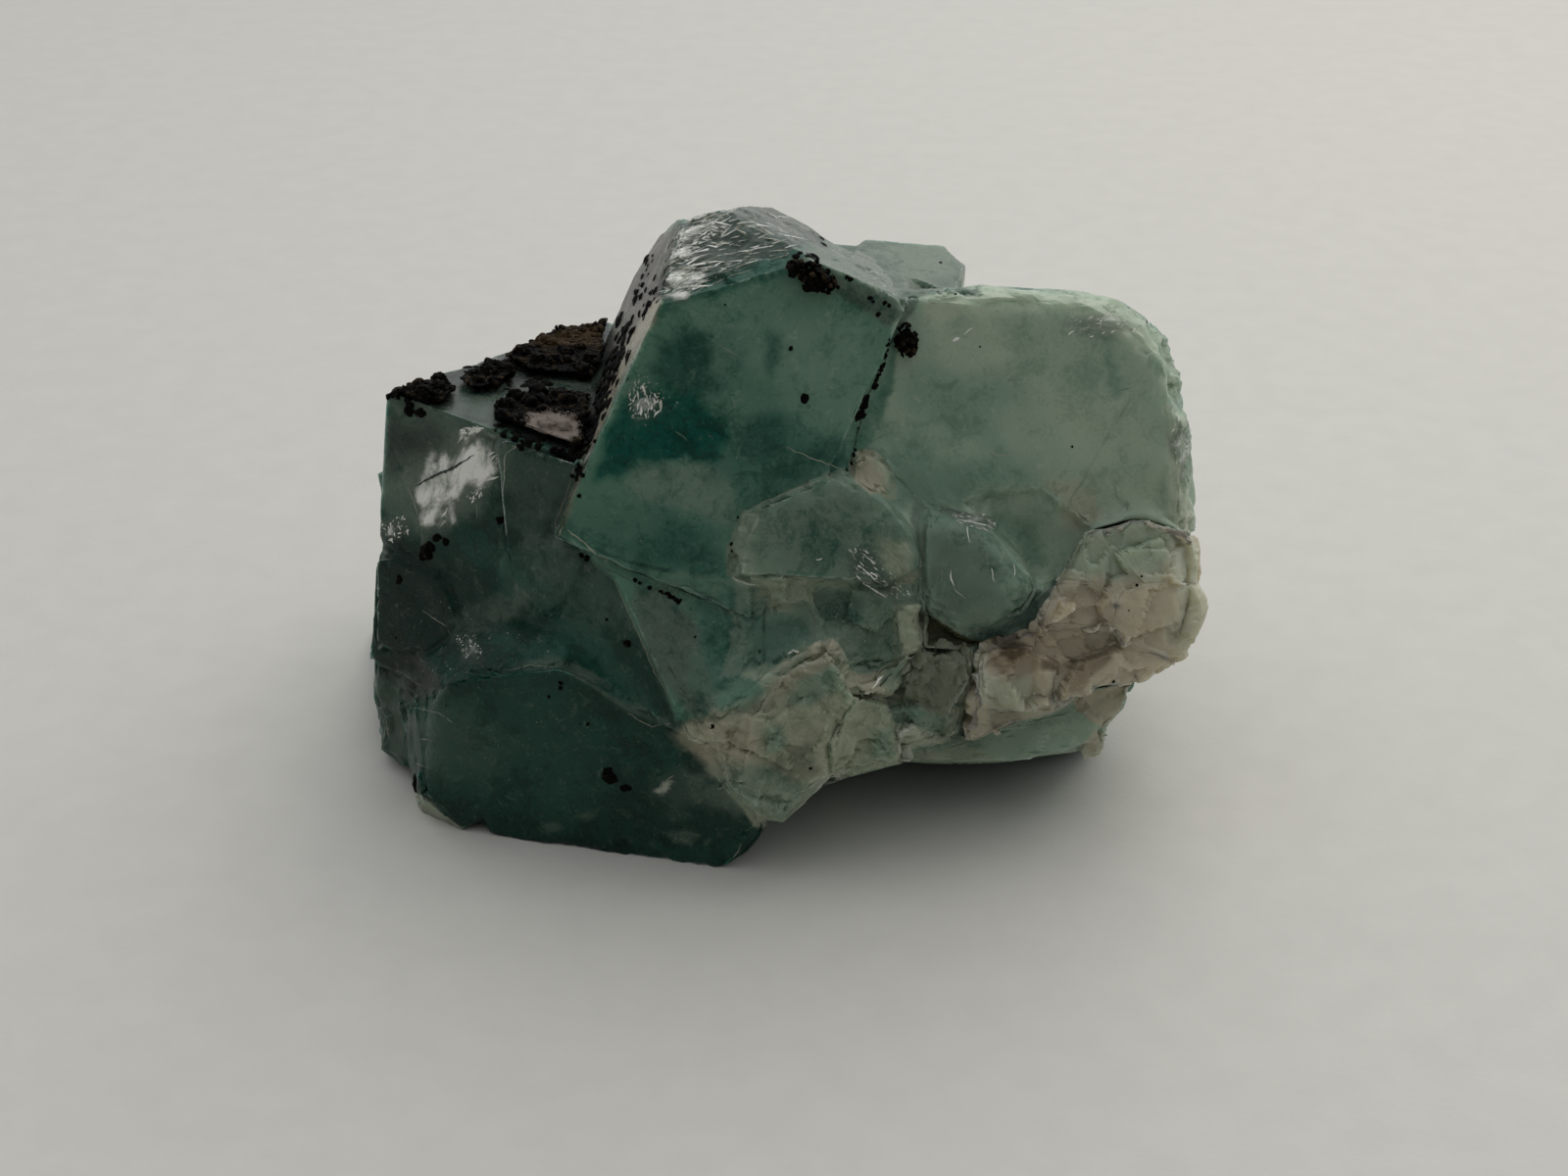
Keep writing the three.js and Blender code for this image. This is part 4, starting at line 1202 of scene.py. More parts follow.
FLAKED = [Region(path, None, *rest) for path, *rest in (
    ("700,735 764,720 804,664 850,650 900,680 945,655 1000,660 1000,745 925,785 848,800 775,842 735,800",
        0.75, 5, 3),
    ("745,600 940,595 945,670 900,690 850,655 790,680 740,690", 0.45, 5, 3),
    ("640,590 745,600 740,700 700,735", 0.2, 8, 6),
    ("1060,500 1225,470 1225,560 1100,545", 0.45, 8, 6),
    ("940,615 1010,650 1000,670 940,665", 0.5, 3, 3),
    ("1190,400 1225,430 1228,560 1196,556 1192,440", 0.5, 6, 4),
    ("930,286 1150,294 1200,345 1214,410 1186,390 1140,325 1050,312 935,316", 0.5, 6, 4),
    ("920,770 1010,742 1136,745 1136,785 920,792", 0.4, 4, 3),
    ("375,655 432,668 455,700 430,730 430,800 400,790 375,770", 0.12, 5, 3),
)]

ROUNDED = [Patch(*row) for row in (
    ((470, 600), (9.5, 9, 7), 0, 1),
    ((560, 620), (7, 6, 6), 0, 0.7),
    ((1060, 430), (15, 12.5, 10)),
    ((1000, 585), (5.5, 5.5, 3.5)),
    ((950, 705), (3.6, 4.4, 3), 0, 0.6),
    ((790, 760), (6.5, 6.5, 4), 0, 0.35),
    ((890, 485), (1.8, 2.4, 1.5), 0, 0.5),
    ((840, 650), (8.5, 4, 3), 0, 0.4),
    ((885, 745), (4, 4.5, 3), 0, 0.4),
    ((560, 780), (13, 8.5, 9), 0, 0.5),
    ((405, 720), (3, 6, 6), 0, 0.3),
)]


def painted(
    surface: Surface, sight: SightMap, colour: Array, regions: Iterable[Region], ragged: Array
) -> Array:
    """Lays traced regions over the colours of the points that the eye sees.

    Args:
        surface: The surface that they lie on.
        sight: What the eye sees of it.
        colour: Red, green, blue and milkiness at each point so far.
        regions: The regions, from the lowest to the topmost.
        ragged: Noise for each point that makes their rims uneven.

    Returns:
        The new colours.
    """
    spots, shown = EYE.picture(surface.points), sight.shown(surface.points)
    for region in regions:
        colour = blended(colour, region.tone, region.weight(spots, ragged) * shown)
    return colour


RUBBLE = Region("640,600 745,600 940,600 1000,650 1000,745 925,790 848,805 775,845 735,800 690,735", None,
    0.45, 10, 6)

SEAMS = Region("575,540 700,500 860,330 930,312 1000,420 1120,450 1250,440 1250,830 700,870 640,720"
    " 560,600", None, 1, 12, 4)

LEDGE = Region("398,684 452,694 462,740 452,806 400,806", None, 0.8, 10, 5)


@dataclass(frozen=True)
class Push:
    """A region that is moved, to round a corner off."""

    region: Region
    shift: Triple


PUSHES = [Push(Region(path, feather=feather, ragged=ragged), shift) for path, feather, ragged, shift in (
    ("748,590 748,558 759,522 800,504 862,480 896,500 932,545 943,578 905,598 825,593", 1.5, 1.2,
        (0, 0, 0.4)),
    ("776,592 800,589 827,594 827,618 785,621 777,610", 1.5, 1, (0, 0, 0.3)),
    ("944,530 950,521 985,530 1014,541 1034,565 1051,590 1055,602 1045,620 1020,633 990,643 976,640 946,620"
        " 942,570", 2, 1.2, (0, 0, 0.7)),
    ("914,618 944,612 943,664 916,678", 1.5, 1.5, (0, 0, 0.5)),
    ("870,472 878,464 895,466 910,482 908,505 890,499 873,488", 1.5, 1, (0, 0, 0.3)),
    ("880,710 912,694 908,715 918,741 922,778 850,798 846,760 864,728", 1.5, 1.5, (0, 0, 0.45)),
    ("918,738 925,738 971,757 945,763 920,779", 1.5, 1, (0, 0, 0.5)),
    ("873,689 902,686 897,700 882,708 874,700", 1.5, 1, (0, 0, 0.5)),
    ("766,732 784,706 802,676 848,656 872,686 876,710 860,726 843,759 846,796 822,813 800,837 776,838"
        " 746,800 757,790", 2, 2.5, (0, 0, 0.45)),
    ("943,624 978,647 1000,656 986,662 946,660", 3, 3, (0, 0, -0.9)),
    ("986,514 1000,507 1060,500 1086,522 1108,542 1066,602 1052,586 1034,560 1014,538", 2.5, 2,
        (0, 0, -0.5)),
    ("950,205 1010,205 1010,275 984,262 966,244", 9, 3, (-1.3, -1.5, 0)),
    ("830,205 872,205 880,240 860,262 830,262", 9, 3, (0.6, -0.7, 0)),
    ("1190,395 1230,395 1230,425 1190,420", 7, 3, (-0.5, 0, 0)),
    ("735,890 790,860 800,920 740,920", 9, 3, (-0.6, 0.5, 0)),
    ("690,200 740,190 760,205 700,230", 9, 3, (0.3, -0.5, 0)),
)]


@dataclass
class FluoriteCluster:
    """The intergrown crystals, one solid."""

    node: str = "fluorite_cluster"
    slot: str = "fluorite"
    rim_edge: float = 0.4
    seen_edge: float = 0.95
    near_edge: float = 1.8
    far_edge: float = 2.6
    far_depth: float = -14.0
    face_area: float = 30.0
    soft_edge: float = 0.6  # edges up to this long are softened in full
    softening: int = 28
    evening: int = 6
    rim_reach: float = 5.0  # in the picture's pixels
    hidden_tones: tuple[tuple[Tone, float], ...] = (
        (Tone.SEA, 3.3), (Tone.HAZE, 2.4), (Tone.SMOKE, 6.2), (Tone.DEEP, 5.7), (Tone.MIST, 8.1),
    )  # the clouds on the sides that the eye doesn't see, with their seeds
    bend: float = 24.0  # degrees, the least of a sharp edge
    seam: float = 0.25  # mm, like the heights below
    splinters: Layers = ((0.5, 2.3, 2.0), (0.22, 1.2, 5.0))
    flakes: Layers = ((1.0, 4.2, 6.0), (0.45, 2.0, 8.0))
    flake_rise: float = -0.1
    crumbs: float = 0.34
    swell: float = 0.05
    dents: float = 0.16
    nibbles: float = 0.35
    ridges: float = 0.22
    lift_range: Pair = (1.6, 0.4)  # mm of lift that leave no relief and all of it
    finish: FluoriteFinish = field(default_factory=FluoriteFinish)

    def __post_init__(self) -> None:
        """Takes the shape of the CAD node."""
        self.surface = Surface.of_node(self.node)
        self.sight = SightMap([self.surface])
        crisp = [region for region in REGIONS if region.feather <= 3.0] + [push.region for push in PUSHES]
        self.rims = self.sight.near_rims(crisp + [RIM_BAND], RUBBLE, self.rim_reach)

    def longest_edge(self, points: Array) -> Array:
        """The longest edge that the mesh may have at each point."""
        hidden = np.where(points[:, 2] > self.far_depth, self.near_edge, self.far_edge)
        seen = np.where(self.rims[self.sight.cells(points)], self.rim_edge, self.seen_edge)
        return np.where(self.sight.shown(points) > 0.0, seen, hidden)

    def cover(self, patches: Iterable[Patch], ragged: Array) -> Array:
        """The strongest cover that any of the patches has at each point."""
        covers = [patch.weight(self.surface, ragged) for patch in patches]
        return np.max(covers, axis=0)

    def traced(self, regions: Iterable[Region], ragged: Array) -> Array:
        """The strongest cover that any of the regions has at each point that the eye sees."""
        spots = EYE.picture(self.surface.points)
        covers = [region.weight(spots, ragged) for region in regions]
        return np.max(covers, axis=0) * self.sight.shown(self.surface.points)

    def tints(self, ragged: Array) -> Array:
        """Red, green, blue and milkiness at each point."""
        points = self.surface.points
        colour = np.tile(np.array(Tone.TEAL.value), (len(points), 1))
        for tone, seed in self.hidden_tones:
            colour = blended(colour, tone, 0.8 * smooth_step(clouds(points, 13.0, 4, seed), 0.1, 0.45))
        for patch in TINTS:
            colour = blended(colour, patch.tone, patch.weight(self.surface, ragged))
        fine = clouds(points, 2.6, 5, 12.4)
        return painted(self.surface, self.sight, colour, REGIONS, fine)

    def build(self, whole: SightMap) -> bpy.types.Object:
        """Refines the CAD shape, adds its relief and dresses it.

        Args:
            whole: What the eye sees of both minerals.

        Returns:
            The crystals.
        """
        surface = self.surface
        surface.mark_plain(self.face_area)
        surface.refine(self.longest_edge)
        ragged = clouds(surface.points, 5.0, 4, 1.7)
        fine = clouds(surface.points, 1.6, 4, 7.9)
        tint = self.tints(ragged)
        # the mask of the painted glints, and the fibres of the rim band
        painted_glint, fibre = self.traced(PAINTED_GLINTS.values(), fine), self.traced([RIM_BAND], fine)
        wear, groove = surface.creases(self.bend)
        rounded = self.cover(ROUNDED, ragged)
        pace = np.clip((self.soft_edge / self.longest_edge(surface.points)) ** 2, 0.0, 1.0)
        surface.soften(rounded * pace, self.softening)
        surface.soften(surface.widened(groove, 3) * pace, self.softening)
        lifted = surface.close_clefts(whole, self.traced([SEAMS], ragged), self.seam)
        rubble = self.traced([RUBBLE, LEDGE], ragged)
        surface.level_out(whole, rubble)
        surface.soften(np.clip(2.0 * rubble, 0.0, 1.0), self.evening)
        spots = EYE.picture(surface.points)
        for push in PUSHES:
            share = push.region.weight(spots, ragged)[:, None]
            surface.points = surface.points + share * np.array(push.shift)
        points = surface.points
        log.info("%s: %d triangles", self.node, len(surface.faces))
        broken = np.maximum(1.0 - surface.spread(surface.plain), self.cover(ROUGH_FACES, ragged))
        wear = wear * (1.0 - 0.8 * rounded)
        left = smooth_step(lifted, *self.lift_range)
        height = self.swell * clouds(points, 6.0, 3, 4.2)
        height += self.dents * rounded * clouds(points, 3.4, 3, 8.8)
        height += (1.0 - 0.6 * rounded) * left * broken * layered(points, self.splinters)
        height -= self.nibbles * (wear * smooth_step(clouds(points, 1.4, 3, 6.6), 0.1, 0.7))
        ridges = np.abs(clouds(points * np.array([0.45, 1.0, 1.0]), 1.2, 3, 9.1))
        height += self.ridges * painted_glint * (0.4 - ridges)
        flakes = layered(points, self.flakes) + self.flake_rise
        flakes += smooth_step(rubble, 0.1, 0.4) * self.crumbs * facets(points, 1.1, 3.0)
        height += self.traced(FLAKED, fine) * flakes * left
        surface.points = points + surface.normals(4) * height[:, None]
        values = {"tint": tint, "painted_glint": painted_glint, "broken": broken, "wear": wear, "fibre": fibre}
        piece = surface.to_object("fluorite_crystals", self.finish.make(), values, 28.0)
        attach(piece, BODY)
        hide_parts(self.node)
        return piece


@dataclass
class QuartzMatrix:
    """The broken quartz mass at the lower right."""

    node: str = "quartz_matrix"
    slot: str = "quartz"
    longest: float = 0.45
    growth: float = 0.42  # mm, closes most of the seam around it
    evenness: float = 0.75  # share of its depth that the eye sees evened out
    softening: float = 0.7
    breaks: Layers = ((1.0, 3.8, 3.0), (0.45, 1.7, 7.0))
    bend: float = 18.0  # degrees, the least of a sharp edge
    finish: QuartzFinish = field(default_factory=QuartzFinish)

    def __post_init__(self) -> None:
        """Takes the shape of the CAD node."""
        self.surface = Surface.of_node(self.node)

    def build(self, whole: SightMap) -> bpy.types.Object:
        """Refines the CAD shape, breaks its faces up and dresses it.

        Args:
            whole: What the eye sees of both minerals.

        Returns:
            The quartz.
        """
        surface = self.surface
        sight = SightMap([surface])
        surface.refine(lambda points: np.full(len(points), self.longest))
        crevice = surface.creases(self.bend)[1]
        colour = np.tile(np.array(Tone.PINK.value), (len(surface.points), 1))
        tint = painted(surface, sight, colour, QUARTZ_REGIONS, clouds(surface.points, 2.2, 5, 4.4))
        surface.soften(np.full(len(surface.points), self.softening), 9)
        surface.close_clefts(whole, 1.0)
        surface.level_out(whole, np.full(len(surface.points), self.evenness))
        points = surface.points
        log.info("%s: %d triangles", self.node, len(surface.faces))
        relief = layered(points, self.breaks) + 0.05 * clouds(points, 0.9, 3, 2.0)
        surface.points = points + surface.normals(5) * (relief + self.growth)[:, None]
        values = {"tint": tint, "crevice": crevice}
        piece = surface.to_object("quartz_mass", self.finish.make(), values, 30.0)
        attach(piece, BODY)
        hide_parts(self.node)
        return piece


class Heap:
    """Many small closed shapes gathered in one mesh."""

    def __init__(self, seed: int) -> None:
        """Starts an empty heap with its own random numbers."""
        self.random = random.Random(seed)
        self.points: list[Array] = []
        self.faces: list[Array] = []
        self.values: list[Array] = []
        self.total = 0

    def join(self, points: Array, faces: Array, values: Array) -> None:
        """Adds a closed shape, with the values at each of its points."""
        self.points.append(points)
        self.faces.append(faces + self.total)
        self.values.append(values)
        self.total += len(points)

    def surface(self) -> Surface:
        """All the shapes as one surface."""
        return Surface(np.concatenate(self.points), np.concatenate(self.faces))


class Lumps(Heap):
    """A heap of rounded grains; its values are chalk and rust."""

    def __init__(self, seed: int) -> None:
        """Makes the ball that every grain is formed from."""
        super().__init__(seed)
        ball = bmesh.new()
        bmesh.ops.create_icosphere(ball, subdivisions=2, radius=1.0)
        self.ball = np.array([vertex.co for vertex in ball.verts])
        self.ball_faces = np.array([[vertex.index for vertex in face.verts] for face in ball.faces])
        ball.free()

    def add(self, at: Vector, normal: Vector, radius: float, chalk: float = 0.0, rust: float = 0.4) -> None:
        """Adds one grain.

        Args:
            at: Its middle.
            normal: The direction that it is flattened along.
            radius: Half its width.
            chalk: How pale it is, from 0 to 1.
            rust: How brown it is, from 0 to 1.
        """
        turn = Matrix.Rotation(self.random.uniform(0.0, math.tau), 3, "Z")
        stand = normal.to_track_quat("Z", "Y").to_matrix() @ turn
        bumps = 1.0 + 0.4 * clouds(self.ball * 1.2 + self.random.uniform(0.0, 90.0), 1.0, 3)
        flat = self.random.uniform(0.55, 0.8)
        long = self.random.uniform(1.0, 1.5)
        shape = self.ball * bumps[:, None] * np.array([radius * long, radius, radius * flat])
        values = np.tile([chalk, rust], (len(self.ball), 1))
        self.join(shape @ np.array(stand).T + np.array(at), self.ball_faces, values)

    def to_object(self, name: str, finish: CrustFinish) -> bpy.types.Object:
        """Writes the heap as an object that rides on the body."""
        surface = self.surface()
        chalk, rust = np.clip(np.concatenate(self.values), 0.0, 1.5).T
        piece = surface.to_object(name, finish.make(), {"chalk": chalk, "rust": rust}, 60.0)
        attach(piece, BODY)
        log.info("%s: %d grains, %d triangles", name, len(self.points), len(surface.faces))
        return piece


@dataclass
class CrustPatch:
    """One patch of crust, as a heap of grains over its CAD solid."""

    node: str
    seed: int
    grains: int
    radius: Pair  # of the smallest and the largest grains, in mm
    pale: Region | None = None
    earthy: Region | None = None
    sunk: float = 0.05  # mm that the roughened solid lies under its grains
    longest: float = 0.34  # edge of the roughened solid, in mm
    rough: float = 0.22  # mm
    bareness: float = 0.85  # share of the grains that its chalky parts go without
    rust: float = 0.3

    def build(self, finish: CrustFinish) -> bpy.types.Object:
        """Heaps grains on the roughened patch and lets them stand for its node."""
        surface = Surface.of_node(self.node)
        surface.refine(lambda points: np.full(len(points), self.longest))
        normals = surface.face_normals()
        areas = np.linalg.norm(normals, axis=1)
        heap = Lumps(self.seed)
        middles = surface.points[surface.faces].mean(axis=1)
        spots, ragged = EYE.picture(surface.points), clouds(surface.points, 1.4, 4, 5.5)
        pale, earth = np.zeros(len(surface.points)), np.full(len(surface.points), self.rust)
        if self.pale:
            pale = self.pale.weight(spots, ragged)
        if self.earthy:
            earth = np.maximum(earth, 1.3 * self.earthy.weight(spots, ragged))
        rough = self.rough * clouds(surface.points, 1.1, 4, 2.2) * (1.0 - 0.6 * pale)
        base = surface.points + surface.normals() * (rough - self.sunk)[:, None]
        heap.join(base, surface.faces, np.column_stack([pale, earth]))
        picks = heap.random.choices(range(len(areas)), weights=areas.tolist(), k=self.grains)
        for pick in picks:
            chalk = pale[surface.faces[pick, 0]]
            if chalk > 0.5 and heap.random.random() < self.bareness:
                continue
            small = heap.random.random() ** 0.6
            radius = self.radius[1] + (self.radius[0] - self.radius[1]) * max(small, chalk)
            normal = Vector(normals[pick]).normalized()
            rust = heap.random.random() + earth[surface.faces[pick, 0]] - self.rust
            heap.add(Vector(middles[pick]) - normal * radius * 0.3, normal, radius, chalk, rust)
        piece = heap.to_object(self.node.replace("crust", "oxide"), finish)
        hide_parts(self.node)
        return piece


@dataclass(frozen=True)
class Trail:
    """Grains scattered along a line on the surface."""

    line: str  # as a path
    count: int
    radius: Pair
    spread: float  # in the picture's pixels

    def spots(self, chance: random.Random) -> list[Triple]:
        """Where each grain is seen, and its radius."""
        found, line = [], spots_of(self.line)
        for _ in range(self.count):
            part = chance.randrange(len(line) - 1)
            (first, top), (second, bottom) = line[part : part + 2]
            share = chance.random()
            across = first + (second - first) * share + chance.gauss(0.0, self.spread)
            down = top + (bottom - top) * share + chance.gauss(0.0, self.spread)
            found.append((across, down, chance.uniform(*self.radius)))
        return found


class Ground:
    """The finished surfaces that small things are set on."""

    def __init__(self, carriers: Sequence[bpy.types.Object]) -> None:
        """Gathers the carriers' meshes in one tree."""
        points, faces, start = [], [], 0
        for carrier in carriers:
            mesh = carrier.data
            points.append(EYE.to_traced(np.array([vertex.co for vertex in mesh.vertices])))
            faces += [tuple(start + index for index in face.vertices) for face in mesh.polygons]
            start += len(mesh.vertices)
        self.tree = BVHTree.FromPolygons(np.concatenate(points).tolist(), faces)

    def seen(self, across: float, down: float) -> tuple[Vector, Vector] | None:
        """The spot that the eye sees there and the surface's direction at it, if there is one."""
        hit, normal, _, _ = self.tree.ray_cast(*EYE.aim(across, down))
        return (hit, normal) if hit else None


@dataclass
class OxideBeads:
    """Single dark beads and short chains of them on the crystal faces."""

    seed: int = 77
    singles: str = (  # across, down and radius in mm of each, as a path
        "821,407,0.36 807,356,0.17 740,311,0.08 621,793,0.66 638,804,0.35 510,531,0.34 514,529,0.22"
        " 435,563,0.6 430,568,0.35 440,558,0.4 445,549,0.33 455,553,0.34 449,548,0.2 408,590,0.3"
        " 407,594,0.24 424,794,0.34 424,800,0.38 424,804,0.3 640,656,0.34 572,697,0.2 572,702,0.18"
        " 600,739,0.16 592,739,0.08 560,711,0.12 619,632,0.13 727,741,0.18 594,567,0.2 599,570,0.22"
        " 648,592,0.18 653,595,0.16 663,600,0.2 674,603,0.16 709,650,0.1 705,622,0.07 827,784,0.13"
        " 896,321,0.2 839,244,0.22 841,250,0.28 868,285,0.22 864,283,0.16 888,304,0.18 891,308,0.16"
        " 903,309,0.16 907,312,0.16 808,268,0.34 812,262,0.3 806,272,0.26 816,258,0.2 975,300,0.12"
        " 960,268,0.14 921,243,0.16 880,243,0.14 1000,354,0.08 1094,456,0.1 1160,597,0.13 1165,588,0.1"
        " 1152,623,0.08 1136,695,0.12 753,528,0.1 864,480,0.14 672,236,0.26 668,284,0.17 656,291,0.22"
        " 649,306,0.36 654,303,0.3 634,322,0.4 632,328,0.44 645,326,0.34 637,338,0.36 633,346,0.3"
        " 618,355,0.36 616,362,0.3 746,555,0.16 747,562,0.12 915,637,0.1 455,720,0.08 620,786,0.3"
        " 404,651,0.12"
    )
    trails: tuple[Trail, ...] = (
        Trail("666,262 655,282 646,298", 12, (0.1, 0.28), 2),
        Trail("668,298 662,310 652,322", 26, (0.1, 0.3), 3),
        Trail("644,334 634,352 624,376", 34, (0.16, 0.4), 4),
        Trail("632,356 621,395 605,431 592,460", 130, (0.14, 0.42), 4),
        Trail("596,462 592,480 588,488", 12, (0.1, 0.26), 3),
        Trail("592,505 586,512", 3, (0.08, 0.14), 1.5),
        Trail("808,266 820,278 838,288", 30, (0.12, 0.28), 2.5),
        Trail("832,270 846,280 856,291", 16, (0.1, 0.24), 2),
        Trail("826,262 834,266", 7, (0.14, 0.26), 2),
        Trail("908,346 903,368 896,384", 26, (0.08, 0.18), 0.8),
        Trail("896,384 892,396", 8, (0.12, 0.22), 1),
        Trail("884,402 880,414 877,426", 18, (0.2, 0.34), 1.6),
        Trail("878,434 872,460 868,476", 9, (0.07, 0.15), 0.8),
        Trail("676,604 696,616", 22, (0.08, 0.2), 1.2),
        Trail("505,352 540,344 575,334", 20, (0.15, 0.36), 3),
        Trail("532,372 545,380", 12, (0.2, 0.4), 3),
        Trail("562,380 578,378", 12, (0.18, 0.34), 2.5),
        Trail("540,392 560,390", 14, (0.18, 0.36), 2.5),
        Trail("564,398 580,404", 14, (0.18, 0.36), 3),
        Trail("396,400 420,396", 16, (0.16, 0.34), 3),
        Trail("412,412 430,420", 18, (0.16, 0.34), 3.5),
        Trail("440,406 460,412", 10, (0.1, 0.26), 3),
        Trail("472,374 500,388 524,394", 20, (0.12, 0.3), 3),
        Trail("506,432 530,450 556,452", 22, (0.16, 0.36), 3.5),
        Trail("566,460 590,466", 14, (0.2, 0.38), 3.5),
        Trail("390,404 384,500", 5, (0.06, 0.12), 2),
    )
    hidden: int = 90  # beads on the sides that the eye doesn't see
    groups: int = 9
    azimuths: Pair = (60.0, 300.0)  # degrees round from the eye's side
    elevations: Pair = (-20.0, 50.0)  # degrees
    strewn: float = 7.0  # degrees that the beads of a group differ by
    squat: float = 0.8
    hidden_radius: Pair = (0.12, 0.45)  # mm
    sunk: float = 0.25  # how deep a bead sits, in its radii

    def build(self, ground: Ground, finish: CrustFinish) -> bpy.types.Object:
        """Sets the beads on the ground where they are seen, and a few on its far sides."""
        heap = Lumps(self.seed)
        spots = list(spots_of(self.singles))
        for trail in self.trails:
            spots += trail.spots(heap.random)
        for across, down, radius in spots:
            found = ground.seen(across, down)
            if found:
                radius *= 1.5 - 0.5 * abs(found[1].z)
                heap.add(found[0] - found[1] * radius * self.sunk, found[1], radius)
        self.far_beads(heap, ground)
        return heap.to_object("oxide_beads", finish)

    def far_beads(self, heap: Lumps, ground: Ground) -> None:
        """Sets small groups of beads that are reached from the back and the sides."""
        middle = Vector((0.0, 0.0, -18.0))
        uniform = heap.random.uniform
        groups = [(uniform(*self.azimuths), uniform(*self.elevations)) for _ in range(self.groups)]
        for index in range(self.hidden):
            azimuth, elevation = groups[index % len(groups)]
            azimuth += heap.random.gauss(0.0, self.strewn)
            right, onward, up = bearing(azimuth, elevation + heap.random.gauss(0.0, self.strewn))
            outward = Vector((right, up * self.squat, onward)).normalized()
            hit, normal, _, _ = ground.tree.ray_cast(middle + outward * 90.0, -outward)
            if hit:
                radius = heap.random.uniform(*self.hidden_radius)
                heap.add(hit - normal * radius * self.sunk, normal, radius)


@dataclass(frozen=True)
class Strand:
    """A fine line on the surface: a bright edge with a painted glint, a healed crack or a dark seam."""

    line: str  # as a path
    width: float  # mm
    # 0 for a dark seam, about 0.5 for a dull crack, 1 for a white, painted glint
    shine: float


@dataclass(frozen=True)
class Scatter:
    """Cleavage slivers scattered over a traced region; the brightest are painted glints."""

    outline: str  # the region's corners, as a path
    count: int
    length: Pair  # mm
    angle: float  # degrees in the picture
    fan: float  # degrees that the slivers differ by
    shine: Pair
    slimness: float


